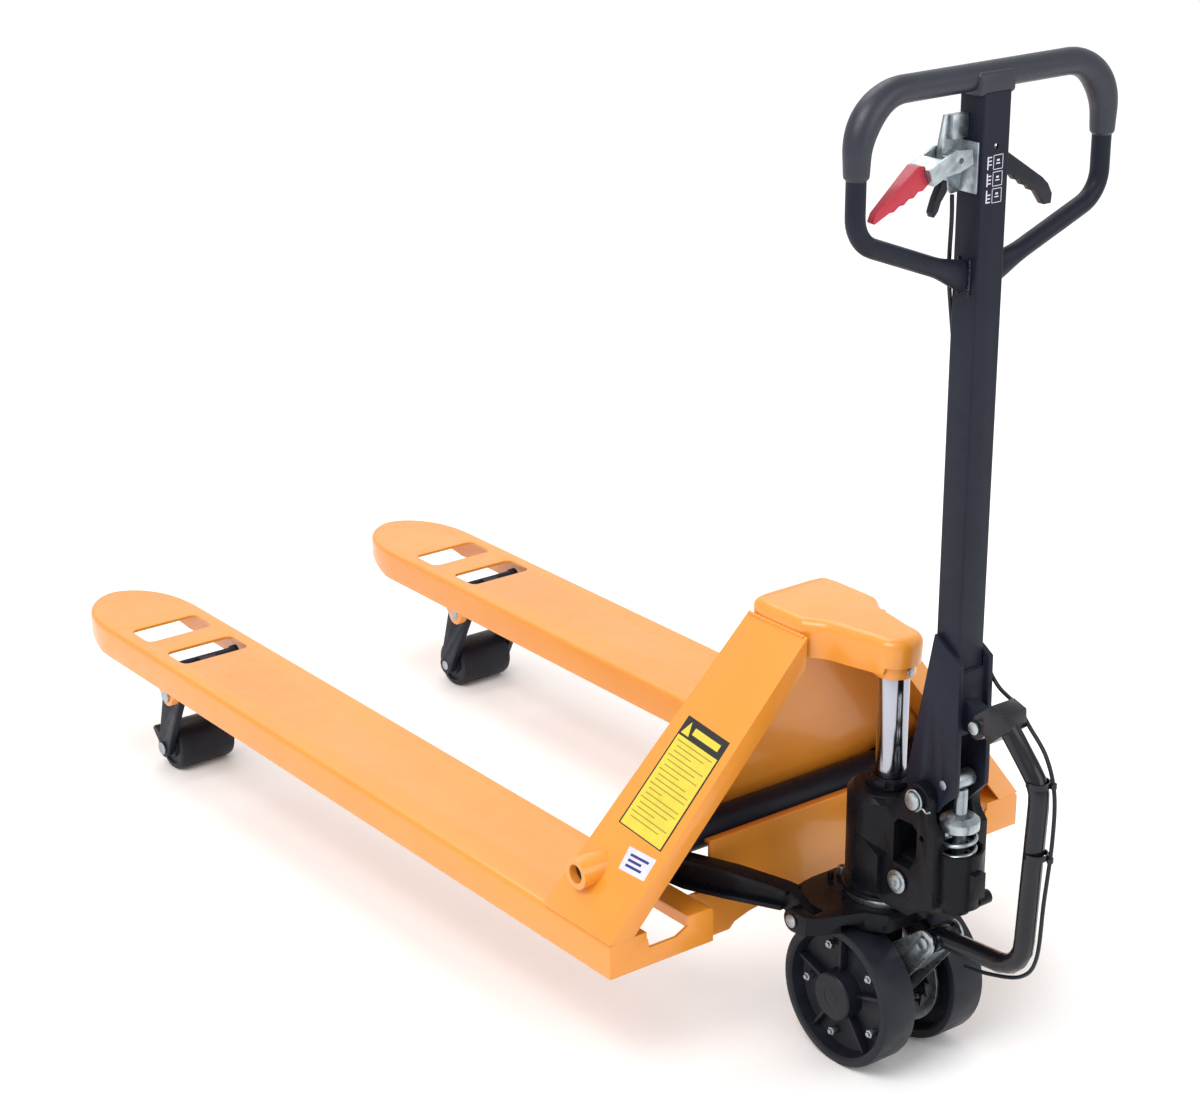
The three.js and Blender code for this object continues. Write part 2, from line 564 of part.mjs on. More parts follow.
function pumpGeometry() {
  const { radius, bottom, top, cheekIn, cheekOut } = PUMP;
  const barrel = join(
    barZ(radius, bottom + 2, top - 8, 0, STEER_Y, 36),
    barZ(radius, top - 8.01, top, 0, STEER_Y, 36, radius - 8),
    barZ(radius + 4, bottom, bottom + 5, 0, STEER_Y, 36),
  );
  const cheeks = [-cheekOut, cheekIn].map((x) => prism(cheekOutline(), 'x', x, x + cheekOut - cheekIn));
  const { y, pot, potBore, potTop, potFloor, rod } = PLUNGER;
  const web = box(-cheekIn - 1, cheekIn + 1, -214, STEER_Y, bottom + 2, 296);
  const bosses = [
    barZ(pot, potFloor - 12, potTop, 0, y),
    barZ(17, potFloor - 24, potFloor - 11, 0, y, 20),
    box(-9, 9, y - pot - 7, y - pot + 6, 268, 300),
    barX(9, 10, 30, y - 22, 256, 12),
    barX(13, -cheekOut - 2, -cheekOut + 4, -178, 268),
    prism([[-107, 240], [-107, 310], [-128, 304], [-150, 292], [-150, 240]], 'x', -52, -40),
  ];
  const cuts = [
    barZ(potBore, potFloor, potTop + 1, 0, y),
    barZ(rod + GAP, potFloor - 18, potFloor + 1, 0, y, 20),
    barZ(PISTON.radius + 0.5, PISTON.bottom - LIFT - 2, top + 1, 0, STEER_Y),
    barX(9 + GAP, -cheekOut - 1, cheekOut + 1, HANDLE_PIVOT.y, HANDLE_PIVOT.z, 16),
    barX(4, -cheekOut - 1, -cheekIn + 1, -214, 338, 10),
    prism([[-167, 290], [-167, 342], [-174, 350], [-198, 351], [-206, 344], [-206, 308], [-196, 290]],
      'x', -cheekOut - 1, -cheekIn + 1),
    barX(8 + GAP, -cheekOut - 3, -cheekOut + 12, -178, 268, 16),
  ];
  return cut(join(barrel, ...cheeks, web, ...bosses), ...cuts);
}
add(steering, 'pump_body', pumpGeometry(), casting());

function glandGeometry() {
  const { top } = PUMP;
  const bore = barZ(PISTON.radius + GAP, top, top + 13, 0, STEER_Y);
  const ring = cut(barZ(30, top + GAP, top + 12, 0, STEER_Y), bore);
  const notches = [0, 1, 2, 3].map((i) => box(24, 34, -5, 5, top + 4, top + 13)
    .rotateZ(radians(45 + 90 * i)).translate(0, STEER_Y, 0));
  return cut(ring, ...notches);
}
add(steering, 'gland_nut', glandGeometry(), casting());

add(steering, 'thrust_bearing', cut(
  barZ(50, BASE.top + GAP, PUMP.bottom - GAP, 0, STEER_Y),
  barZ(28, BASE.top, PUMP.bottom, 0, STEER_Y),
), zinc());

add(steering, 'side_screw', join(
  barX(8, -PUMP.cheekOut - 4, -PUMP.cheekOut + 11, -178, 268),
  barX(15, -PUMP.cheekOut - 8, -PUMP.cheekOut - 2 - GAP, -178, 268, 28),
), zinc());

add(steering, 'handle_pivot_pin', join(
  barX(9, -50, 50, HANDLE_PIVOT.y, HANDLE_PIVOT.z),
  barX(11, -53, -47, HANDLE_PIVOT.y, HANDLE_PIVOT.z),
), zinc());

function yokeGeometry() {
  const post = barZ(22, AXLE.z, PUMP.bottom - GAP, 0, STEER_Y);
  const hub = barX(26, -19, 19, AXLE.y, AXLE.z, 28);
  return cut(join(post, hub), barX(AXLE.radius + GAP, -24, 24, AXLE.y, AXLE.z));
}
add(steering, 'steer_yoke', yokeGeometry(), casting());
add(steering, 'steer_axle', barX(AXLE.radius, -86, 86, AXLE.y, AXLE.z), zinc());

// ---------------------------------------------------------------- steering wheels
function steerWheelGeometry() {
  const { radius, inner, outer, rim, recess, hub, bore, ribs } = WHEEL;
  const wide = (outer - inner) / 2;
  const well = radius - rim;
  const web = wide - recess;
  const disc = latheX([[bore, -wide], [hub, -wide], [hub, -web], [well - 4, -web], [well, -wide + 3],
    [well + 3, -wide], [radius - 2.5, -wide], [radius, -wide + 2.5], [radius, wide - 2.5],
    [radius - 2.5, wide], [well + 3, wide], [well, wide - 3], [well - 4, web], [hub + 2, web],
    [hub, wide + 5], [bore, wide + 5], [bore, -wide]], 40);
  const rib = box(web - 1, wide - 4, hub - 2, well - 1, -2, 2);
  const spokes = [];
  for (let i = 0; i < ribs; i += 1) spokes.push(rib.clone().rotateX(radians(18 + (360 / ribs) * i)));
  return join(disc, ...spokes);
}
const wheelX = (WHEEL.inner + WHEEL.outer) / 2;
add(steering, 'steer_wheel_right', steerWheelGeometry(), blackPlastic(), [wheelX, AXLE.y, AXLE.z]);
add(steering, 'steer_wheel_left', mirrored(steerWheelGeometry()), blackPlastic(), [-wheelX, AXLE.y, AXLE.z]);

// Internally toothed ring on the inner face of the right wheel.
function ratchetRingGeometry() {
  const teeth = 16;
  const ring = circleShape(67, 40);
  const saw = [];
  for (let i = 0; i < teeth; i += 1) {
    const a = (2 * Math.PI * i) / teeth;
    const b = (2 * Math.PI * (i + 0.92)) / teeth;
    saw.push(point(45 * Math.cos(a), 45 * Math.sin(a)), point(54 * Math.cos(b), 54 * Math.sin(b)));
  }
  ring.holes.push(new THREE.Path(saw.reverse()));
  return prism(ring, 'x', 27.6, 31.7);
}
add(steering, 'ratchet_ring', ratchetRingGeometry(), zinc(), [0, AXLE.y, AXLE.z]);

// ---------------------------------------------------------------- start-assist arm and pawl
const linkLower = { y: START_LINK.lowerY, z: START_LINK.lowerZ };

function ratchetArmGeometry() {
  const reach = Math.hypot(linkLower.y - AXLE.y, linkLower.z - AXLE.z);
  const lean = Math.atan2(linkLower.z - AXLE.z, linkLower.y - AXLE.y);
  const place = (geometry) => geometry.rotateX(lean).translate(0, AXLE.y, AXLE.z);
  const cheekPlate = [];
  for (let a = 90; a <= 270; a += 22.5) {
    cheekPlate.push([33 * Math.cos(radians(a)), 33 * Math.sin(radians(a))]);
  }
  for (let a = -90; a <= 90; a += 22.5) {
    cheekPlate.push([reach + 16 * Math.cos(radians(a)), 16 * Math.sin(radians(a))]);
  }
  const cheeks = [-26, 23].map((x) => place(prism(cheekPlate, 'x', x, x + 3)));
  const top = place(box(-26, 26, 52, reach - 26, 16.5, 19.5).rotateX(radians(-3)));
  const axleBore = barX(AXLE.radius + 0.5, -30, 30, AXLE.y, AXLE.z);
  const pinBore = barX(6 + GAP, -30, 30, linkLower.y, linkLower.z, 14);
  return cut(join(...cheeks, top), axleBore, pinBore);
}
add(steering, 'ratchet_arm', ratchetArmGeometry(), zinc());
add(steering, 'start_link_lower_pin', join(
  barX(6, -28, 28, linkLower.y, linkLower.z, 14),
  barX(8, -29, -26 - GAP, linkLower.y, linkLower.z, 14),
), zinc());

// The pawl lies inside the toothed ring and its nose swings out into the teeth.
function pawlGeometry() {
  const pivot = { y: AXLE.y - 11.6, z: AXLE.z - 31.9 };
  const outline = [[6, 3], [2, 7], [-8, 9.5], [-22, 10.5], [-24.6, 5.5], [-15, 0.5], [-4, -5.5], [4, -5.5]]
    .map(([y, z]) => [pivot.y + y, pivot.z + z]);
  return join(prism(outline.reverse(), 'x', 28, 31.4), barX(4, 26 + GAP, 30, pivot.y, pivot.z, 10));
}
add(steering, 'pawl', pawlGeometry(), zinc());

// ---------------------------------------------------------------- plunger and its spring
function plungerGeometry() {
  const { y, rod, cap, capTop } = PLUNGER;
  const tip = PLUNGER_ROLLER.z - PLUNGER_ROLLER.radius - GAP;
  return join(
    barZ(rod, 300, tip, 0, y, 20),
    barZ(cap, capTop - 19, capTop - 8, 0, y),
    barZ(cap, capTop - 8.01, capTop - 2, 0, y, 32, 17),
    barZ(17, capTop - 2.01, capTop, 0, y, 32, 11),
  );
}
add(handle, 'plunger', plungerGeometry(), zinc());

function springGeometry() {
  const { y, potFloor, capTop } = PLUNGER;
  const low = potFloor + 3.2;
  const high = capTop - 19 - 3.2;
  const turns = 5.5;
  class Coil extends THREE.Curve {
    getPoint(t, target = new THREE.Vector3()) {
      const a = 2 * Math.PI * turns * t;
      return target.set(20 * Math.cos(a), y + 20 * Math.sin(a), low + (high - low) * t);
    }
  }
  return sweep(new Coil(), 2.9, 6, 88);
}
add(handle, 'plunger_spring', springGeometry(), zinc());

// ---------------------------------------------------------------- handle
// Two triangular side plates that carry the pivot, the plunger roller and the foot of the stem.
function bracketGeometry() {
  const foot = [];
  for (let a = 200; a <= 320; a += 24) {
    foot.push([HANDLE_PIVOT.y + 23 * Math.cos(radians(a)), HANDLE_PIVOT.z + 23 * Math.sin(radians(a))]);
  }
  const outline = [[-205, 592], [-247, 566], [-250, 430], [-250, 404], ...foot, [-166, 392]];
  const plates = [-27, STEM.half + GAP].map((x) => prism(outline, 'x', x, x + 27 - STEM.half - GAP));
  const web = box(-27, 27, STEM.front - 4, STEM.front - GAP, 474, 552);
  const lugPlate = [[-242, 478], [-242, 516]];
  for (let a = 80; a >= -80; a -= 32) {
    const [across, up] = [13 * Math.cos(radians(a)), 13 * Math.sin(radians(a))];
    lugPlate.push([START_LINK.upperY - across, START_LINK.upperZ + up]);
  }
  const lug = prism(lugPlate.reverse(), 'x', -9, 9);
  const pivotBore = barX(9.4, -30, 30, HANDLE_PIVOT.y, HANDLE_PIVOT.z, 16);
  const rollerBore = barX(5 + GAP, -30, 30, PLUNGER_ROLLER.y, PLUNGER_ROLLER.z, 14);
  const linkBore = barX(6 + GAP, -12, 12, START_LINK.upperY, START_LINK.upperZ, 14);
  return cut(join(...plates, web, lug), pivotBore, rollerBore, linkBore);
}
add(handle, 'handle_bracket', bracketGeometry(), blackPaint());

add(handle, 'plunger_roller', cut(
  barX(PLUNGER_ROLLER.radius, -16, 16, PLUNGER_ROLLER.y, PLUNGER_ROLLER.z, 24),
  barX(5 + GAP, -17, 17, PLUNGER_ROLLER.y, PLUNGER_ROLLER.z, 14),
), zinc());
add(handle, 'plunger_roller_pin', join(
  barX(5, -27.5, 27.5, PLUNGER_ROLLER.y, PLUNGER_ROLLER.z, 14),
  barX(6, -28.6, -27 - GAP, PLUNGER_ROLLER.y, PLUNGER_ROLLER.z, 14),
), zinc());

function stemGeometry() {
  const { half: wide, front, back, bottom, top, wall } = STEM;
  const middle = (front + back) / 2;
  const deep = (back - front) / 2;
  const outer = prism(roundedRectangle(wide, deep, 3, [0, middle]), 'z', bottom, top);
  const hollow = box(-wide + wall, wide - wall, front + wall, back - wall, bottom - 1, top - 4);
  const leverSlot = box(0, wide + 1, LOOP.y - 7, LOOP.y + 7, CONTROL_PIVOT.z - 38, CONTROL_PIVOT.z + 30);
  return cut(outer, hollow, leverSlot);
}
add(handle, 'handle_stem', stemGeometry(), blackPaint());

// Loop tube: two lower legs rise from the stem to upright sides, joined by the top bar.
const loopPoint = (x, z) => new THREE.Vector3(x, LOOP.y, z);

function loopGeometry() {
  const { half: wide, barZ: bar, radius, corner, lowBend, lowCorner, lowEnd } = LOOP;
  const corners = [loopPoint(-STEM.half - GAP, lowEnd), loopPoint(-wide, lowBend), loopPoint(-wide, bar),
    loopPoint(wide, bar), loopPoint(wide, lowBend), loopPoint(STEM.half + GAP, lowEnd)];
  const tube = sweep(roundedPath(corners, [lowCorner, corner, corner, lowCorner]), radius, 10, 48);
  const clearStem = box(-STEM.half - GAP, STEM.half + GAP, -260, -180, lowEnd - 40, lowEnd + 60);
  return cut(tube, clearStem);
}
add(handle, 'handle_loop', loopGeometry(), blackPaint());

function gripGeometry() {
  const { half: wide, barZ: bar, grip, radius, corner } = LOOP;
  const gripEnd = 1140;
  const plan = [[-wide, gripEnd], [-wide, bar], [wide, bar], [wide, gripEnd]];
  const corners = plan.map(([x, z]) => loopPoint(x, z));
  return sweep(roundedPath(corners, [corner, corner]), grip, 10, 28, radius + 0.9);
}
add(handle, 'grip_cover', gripGeometry(), blackPlastic());

// ---------------------------------------------------------------- control levers
// Finger scallops along the underside of a lever, from one place to another.
function scallops(from, to, count, bite) {
  const edge = [];
  for (let i = 0; i < count; i += 1) {
    const a = i / count;
    const b = (i + 0.5) / count;
    edge.push([THREE.MathUtils.lerp(from[0], to[0], a), THREE.MathUtils.lerp(from[1], to[1], a)]);
    edge.push([THREE.MathUtils.lerp(from[0], to[0], b), THREE.MathUtils.lerp(from[1], to[1], b) + bite]);
  }
  return edge;
}

function controlLeverGeometry() {
  const { x, z } = CONTROL_PIVOT;
  const outline = [[x - 9, z - 7], [x + 22, z - 12], ...scallops([x + 34, z - 14], [x + 84, z - 44], 4, 4),
    [x + 92, z - 55], [x + 103, z - 55], [x + 104, z - 44], [x + 97, z - 32], [x + 88, z - 24],
    [x + 22, z + 18], [x - 4, z + 10]];
  return prism(outline, 'y', LOOP.y - 5, LOOP.y + 5);
}
add(handle, 'control_lever', controlLeverGeometry(), blackPlastic());

// Rod inside the stem from the control lever down to the release valve.
add(handle, 'release_rod', barZ(4, STEM.bottom + 10, CONTROL_PIVOT.z - 45, 0, LOOP.y, 10), zinc());

function startLeverGeometry() {
  const { x, z } = START_PIVOT;
  const outline = [[x + 18, z - 6], [x + 16, z + 10], [x - 8, z + 12], [x - 46, z - 4], [x - 38, z - 22],
    [x - 20, z - 14], [x, z - 12]];
  const body = prism(outline, 'y', -237, -203);
  const hollow = box(x - 26, x + 20, -234, -206, z - 30, z + 20);
  return cut(body, hollow, barY(3.5, -240, -200, x, z, 12));
}
add(handle, 'start_lever', startLeverGeometry(), zinc());

function startGripGeometry() {
  const outline = [[-86, 1127], ...scallops([-96, 1119], [-146, 1094], 4, 3), [-158, 1089], [-162.5, 1094],
    [-160, 1106], [-104, 1146], [-94, 1145]].reverse();
  const sleeve = prism(outline, 'y', -232, -208);
  const lever = startLeverGeometry();
  const clearance = lever.clone().translate(GAP, 0, -GAP);
  return cut(sleeve, lever, clearance, box(-88, -60, -240, -200, 1100, 1160));
}
add(handle, 'start_lever_grip', startGripGeometry(), redVinyl());

function lockTriggerGeometry() {
  const outline = [[-64, 1122], [-57, 1124], [-56, 1112], [-64, 1102], [-68, 1092], [-74, 1086], [-77, 1092],
    [-72, 1106]];
  return prism(outline, 'y', -224, -214);
}
add(handle, 'lock_trigger', lockTriggerGeometry(), blackPlastic());

function leverBracketGeometry() {
  const { x, z } = START_PIVOT;
  const upright = prism([[-STEM.half - GAP, z - 40], [-STEM.half - GAP, z + 44], [x, z + 44], [x - 8, z + 8],
    [x - 8, z - 18], [-36, z - 42]], 'y', -209.4, -206.4);
  const foot = box(-STEM.half - 3.3, -STEM.half - GAP, -233.6, -206.4, z - 40, z + 15);
  const pin = barY(3, -233.6, -207, x, z, 12);
  const seat = box(-44, -STEM.half - GAP, -216, -207, z + 18, z + 44);
  return join(upright, foot, pin, seat);
}
add(handle, 'lever_bracket', leverBracketGeometry(), zinc());

// ---------------------------------------------------------------- start link
function startLinkGeometry() {
  const { upperY, upperZ, lowerY, lowerZ, radius } = START_LINK;
  const spot = (y, z) => new THREE.Vector3(0, y, z);
  const tube = sweep(roundedPath([spot(upperY - 26, upperZ + 17), spot(-357, 446), spot(-345, 203),
    spot(lowerY - 8, lowerZ + 2)], [42, 42]), radius, 12, 28);
  const fork = [];
  for (let a = 20; a >= -160; a -= 30) {
    fork.push([upperY + 15 * Math.cos(radians(a)), upperZ + 15 * Math.sin(radians(a))]);
  }
  const forkEnd = [[upperY - 22, upperZ - 14], [upperY - 46, upperZ + 8], [upperY - 44, upperZ + 30],
    [upperY - 24, upperZ + 36]];
  const clevis = prism([...fork, ...forkEnd].reverse(), 'x', -18, 18);
  const throat = prism([[upperY + 20, upperZ - 30], [upperY + 20, upperZ + 40], [upperY - 20, upperZ + 40],
    [upperY - 20, upperZ - 30]].reverse(), 'x', -10, 10);
  // The eye is slotted, so that the link's nearly even turning never binds on the lower pin.
  const [driftY, driftZ] = START_LINK.drift;
  const place = (geometry) => geometry.rotateX(Math.atan2(driftZ, driftY)).translate(0, lowerY, lowerZ);
  const drift = Math.hypot(driftY, driftZ);
  const eye = place(prism(slotOutline(0, drift, 14), 'x', -14, 14));
  const slot = place(prism(slotOutline(0, drift, 7.3), 'x', -15, 15));
  const bores = [barX(6 + GAP, -20, 20, upperY, upperZ, 14), slot];
  return cut(join(cut(clevis, throat), tube, eye), ...bores);
}
add(handle, 'start_link', startLinkGeometry(), blackPaint());
add(handle, 'start_link_upper_pin', join(
  barX(6, -20, 20, START_LINK.upperY, START_LINK.upperZ, 14),
  barX(8, -22, -18 - GAP, START_LINK.upperY, START_LINK.upperZ, 14),
), zinc());

// ---------------------------------------------------------------- start cable
// From the lever down beside the stem, then along the far side of the start link to the pawl.
const cablePath = (points) => new THREE.CatmullRomCurve3(points.map((p) => new THREE.Vector3(...p)));
add(handle, 'start_cable_upper', sweep(cablePath([[-44, -219, 1106], [-42, -218, 1080], [-30, -205, 1020],
  [-12, -194, 960], [6, -193, 860], [24, -196, 760], [26, -196, 700], [33, -204, 610], [34, -222, 560],
  [33, -250, 528]]), 2.5, 8, 40), blackPlastic());
add(handle, 'start_cable_lower', sweep(cablePath([[20, -316, 502], [14, -350, 478], [9, -370.5, 440],
  [8, -372.8, 380], [8, -366, 300], [10, -358, 222], [16, -330, 184], [18, -280, 164],
  [18, -236, 156]]), 2.5, 8, 36), blackPlastic());

// ---------------------------------------------------------------- place the truck on its origin
// The origin is on the floor, below the middle of the truck's outline.
const bounds = new THREE.Box3().setFromObject(truck, true);
truck.position.set(0, -(bounds.min.y + bounds.max.y) / 2, 0);

export default truck;
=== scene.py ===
"""Looks of the hand pallet truck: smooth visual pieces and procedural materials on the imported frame."""
import json
import math

import bmesh
import bpy
from mathutils import Matrix, Vector

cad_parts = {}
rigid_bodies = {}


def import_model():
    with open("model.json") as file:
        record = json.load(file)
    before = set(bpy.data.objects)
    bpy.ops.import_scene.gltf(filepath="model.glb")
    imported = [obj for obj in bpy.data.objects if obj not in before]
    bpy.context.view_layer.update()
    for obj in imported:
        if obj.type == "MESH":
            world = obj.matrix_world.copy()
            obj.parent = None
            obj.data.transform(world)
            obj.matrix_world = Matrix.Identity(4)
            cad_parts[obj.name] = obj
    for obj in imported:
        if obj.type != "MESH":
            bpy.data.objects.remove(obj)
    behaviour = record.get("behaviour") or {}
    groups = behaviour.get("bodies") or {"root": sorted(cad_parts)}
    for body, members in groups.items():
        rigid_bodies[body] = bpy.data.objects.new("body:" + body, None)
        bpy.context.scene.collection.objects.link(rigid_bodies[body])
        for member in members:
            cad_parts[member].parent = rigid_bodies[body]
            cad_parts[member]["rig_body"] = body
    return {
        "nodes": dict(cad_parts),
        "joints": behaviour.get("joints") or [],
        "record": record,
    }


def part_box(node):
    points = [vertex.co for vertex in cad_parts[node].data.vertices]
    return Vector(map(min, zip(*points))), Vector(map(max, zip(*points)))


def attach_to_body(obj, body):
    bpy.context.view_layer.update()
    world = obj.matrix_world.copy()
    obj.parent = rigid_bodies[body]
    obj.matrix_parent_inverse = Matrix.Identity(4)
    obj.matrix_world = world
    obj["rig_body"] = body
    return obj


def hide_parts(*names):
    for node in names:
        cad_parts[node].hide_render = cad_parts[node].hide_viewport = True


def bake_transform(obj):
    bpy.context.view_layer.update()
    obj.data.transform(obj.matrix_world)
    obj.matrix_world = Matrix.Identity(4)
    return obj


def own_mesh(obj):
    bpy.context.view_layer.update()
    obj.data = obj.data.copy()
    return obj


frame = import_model()


def write_size():
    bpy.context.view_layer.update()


write_size()

MM = 0.001
SMOOTH_ANGLE = math.radians(32)

# Camera, fitted to the edges of the forks, the piston, the rollers and the wheels.
CAMERA_AZIMUTH = -36.960
CAMERA_ELEVATION = 23.312
CAMERA_ROLL = -0.553
CAMERA_DISTANCE = 3.705
CAMERA_LENS = 80.51
CAMERA_SHIFT = (0.00166, 0.1017)
CAMERA_AIM_BEHIND_FRONT = 0.8498
CAMERA_AIM_HEIGHT = 0.300

JOINTS = {joint["name"]: joint for joint in frame["joints"]}


# ---------------------------------------------------------------- places on the frame
def low(node):
    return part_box(node)[0]


def high(node):
    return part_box(node)[1]


def centre(node):
    lowest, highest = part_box(node)
    return (lowest + highest) / 2


def pivot(joint):
    return Vector(JOINTS[joint]["pos_m"])


# ---------------------------------------------------------------- materials
class Shader:
    """A Principled material under construction, with short names for the nodes it needs."""

    def __init__(self, name, color, roughness, metallic=0.0):
        self.material = bpy.data.materials.new(name)
        self.material.use_nodes = True
        self.nodes = self.material.node_tree.nodes
        self.links = self.material.node_tree.links
        self.surface = self.nodes["Principled BSDF"]
        self.surface.inputs["Base Color"].default_value = (*color, 1)
        self.surface.inputs["Roughness"].default_value = roughness
        self.surface.inputs["Metallic"].default_value = metallic
        self.place = self.nodes.new("ShaderNodeTexCoord").outputs["Object"]

    def noise(self, scale, detail=4.0, stretch=(1, 1, 1)):
        mapping = self.nodes.new("ShaderNodeMapping")
        mapping.inputs["Scale"].default_value = stretch
        self.links.new(self.place, mapping.inputs["Vector"])
        noise = self.nodes.new("ShaderNodeTexNoise")
        noise.inputs["Scale"].default_value = scale
        noise.inputs["Detail"].default_value = detail
        self.links.new(mapping.outputs["Vector"], noise.inputs["Vector"])
        return noise.outputs["Fac"]

    def spread(self, value, start, end):
        """Maps the middle of a noise onto start..end."""
        ramp = self.nodes.new("ShaderNodeMapRange")
        ramp.inputs["From Min"].default_value = 0.3
        ramp.inputs["From Max"].default_value = 0.7
        ramp.inputs["To Min"].default_value = start
        ramp.inputs["To Max"].default_value = end
        self.links.new(value, ramp.inputs["Value"])
        return ramp.outputs["Result"]

    def tint(self, value, dark, light):
        """Colours the surface from dark to light with a noise."""
        mix = self.nodes.new("ShaderNodeMix")
        mix.data_type = "RGBA"
        mix.inputs["A"].default_value = (*dark, 1)
        mix.inputs["B"].default_value = (*light, 1)
        self.links.new(self.spread(value, 0, 1), mix.inputs["Factor"])
        self.links.new(mix.outputs["Result"], self.surface.inputs["Base Color"])

    def vary_roughness(self, value, start, end):
        self.links.new(self.spread(value, start, end), self.surface.inputs["Roughness"])

    def bump(self, value, strength, distance):
        bump = self.nodes.new("ShaderNodeBump")
        bump.inputs["Strength"].default_value = strength
        bump.inputs["Distance"].default_value = distance
        self.links.new(value, bump.inputs["Height"])
        self.links.new(bump.outputs["Normal"], self.surface.inputs["Normal"])

    def dull(self, level):
        """Weakens the mirror reflection of a dark surface."""
        self.surface.inputs["Specular IOR Level"].default_value = level

    def coat(self, weight, roughness):
        self.surface.inputs["Coat Weight"].default_value = weight
        self.surface.inputs["Coat Roughness"].default_value = roughness


def amber_paint():
    shader = Shader("amber_paint", (0.73, 0.26, 0.022), 0.38)
    shader.tint(shader.noise(5, 3), (0.715, 0.25, 0.020), (0.745, 0.27, 0.025))
    shader.vary_roughness(shader.noise(30), 0.34, 0.46)
    shader.bump(shader.noise(170, 2), 0.06, 0.0006)
    shader.coat(0.45, 0.12)
    return shader.material


def black_paint():
    shader = Shader("black_paint", (0.012, 0.014, 0.023), 0.42)
    shader.tint(shader.noise(9, 3), (0.0075, 0.0095, 0.018), (0.0115, 0.0135, 0.025))
    shader.dull(0.17)
    shader.vary_roughness(shader.noise(60), 0.36, 0.5)
    shader.bump(shader.noise(420, 2), 0.12, 0.0004)
    return shader.material


def gloss_black_paint():
    shader = Shader("gloss_black_paint", (0.005, 0.0055, 0.009), 0.25)
    shader.tint(shader.noise(14, 3), (0.004, 0.0045, 0.007), (0.007, 0.0075, 0.012))
    shader.dull(0.25)
    shader.vary_roughness(shader.noise(45), 0.2, 0.32)
    shader.bump(shader.noise(160, 3), 0.12, 0.0005)
    shader.coat(0.18, 0.08)
    return shader.material


def black_casting():
    shader = Shader("black_casting", (0.004, 0.0045, 0.007), 0.34)
    shader.tint(shader.noise(20, 4), (0.003, 0.0035, 0.005), (0.006, 0.0065, 0.010))
    shader.vary_roughness(shader.noise(80), 0.24, 0.42)
    shader.dull(0.14)
    shader.bump(shader.noise(260, 6), 0.35, 0.0008)
    return shader.material


def zinc_plate():
    shader = Shader("zinc_plate", (0.36, 0.40, 0.43), 0.3, metallic=0.95)
    shader.tint(shader.noise(90, 3), (0.28, 0.32, 0.345), (0.43, 0.475, 0.50))
    shader.vary_roughness(shader.noise(120), 0.24, 0.42)
    shader.bump(shader.noise(300, 3), 0.08, 0.0003)
    return shader.material


def polished_chrome():
    shader = Shader("polished_chrome", (0.38, 0.39, 0.44), 0.16, metallic=1.0)
    shader.tint(shader.noise(12, 2), (0.35, 0.36, 0.41), (0.42, 0.43, 0.48))
    shader.vary_roughness(shader.noise(900, 1, (0.02, 0.02, 1)), 0.12, 0.2)
    return shader.material


def wheel_nylon():
    shader = Shader("wheel_nylon", (0.009, 0.0105, 0.016), 0.45)
    shader.tint(shader.noise(25, 4), (0.007, 0.0085, 0.013), (0.012, 0.0135, 0.021))
    shader.dull(0.22)
    shader.vary_roughness(shader.noise(50), 0.34, 0.52)
    shader.bump(shader.noise(220, 4), 0.1, 0.0005)
    return shader.material


def grip_sleeve():
    shader = Shader("grip_sleeve", (0.012, 0.0145, 0.026), 0.42)
    shader.tint(shader.noise(30, 4), (0.010, 0.0125, 0.023), (0.015, 0.0175, 0.031))
    shader.dull(0.5)
    shader.vary_roughness(shader.noise(200), 0.36, 0.48)
    shader.bump(shader.noise(1300, 2), 0.2, 0.0003)
    return shader.material


def black_plastic():
    shader = Shader("black_plastic", (0.010, 0.0115, 0.018), 0.42)
    shader.tint(shader.noise(40, 3), (0.008, 0.0095, 0.015), (0.013, 0.0145, 0.022))
    shader.dull(0.25)
    shader.vary_roughness(shader.noise(90), 0.35, 0.5)
    shader.bump(shader.noise(700, 2), 0.1, 0.0003)
    return shader.material


def red_vinyl():
    shader = Shader("red_vinyl", (0.41, 0.014, 0.035), 0.3)
    shader.tint(shader.noise(35, 3), (0.38, 0.011, 0.030), (0.44, 0.017, 0.040))
    shader.dull(0.3)
    shader.vary_roughness(shader.noise(60), 0.24, 0.38)
    shader.bump(shader.noise(500, 2), 0.08, 0.0003)
    shader.coat(0.3, 0.15)
    return shader.material


def printed(name, color, roughness=0.4):
    """Thin printed film with a little unevenness in its ink."""
    shader = Shader(name, color, roughness)
    shader.tint(shader.noise(60, 3), tuple(c * 0.93 for c in color), tuple(min(1, c * 1.04) for c in color))
    shader.vary_roughness(shader.noise(90), roughness - 0.06, roughness + 0.06)
    return shader.material


AMBER = amber_paint()
BLACK = black_paint()
GLOSS_BLACK = gloss_black_paint()
CASTING = black_casting()
ZINC = zinc_plate()
CHROME = polished_chrome()
NYLON = wheel_nylon()
SLEEVE = grip_sleeve()
PLASTIC = black_plastic()
RED = red_vinyl()
LABEL_YELLOW = printed("label_yellow", (0.66, 0.52, 0.045))
LABEL_BLACK = printed("label_black", (0.012, 0.012, 0.012))
LABEL_WHITE = printed("label_white", (0.60, 0.60, 0.70))
LABEL_INK = printed("label_ink", (0.28, 0.23, 0.03))
LABEL_BLUE = printed("label_blue", (0.02, 0.025, 0.16))


# ---------------------------------------------------------------- mesh helpers
def shade(mesh, material):
    """Smooth shading with sharp creases, and one material."""
    mesh.materials.clear()
    mesh.materials.append(material)
    mesh.polygons.foreach_set("use_smooth", [True] * len(mesh.polygons))
    mesh.set_sharp_from_angle(angle=SMOOTH_ANGLE)


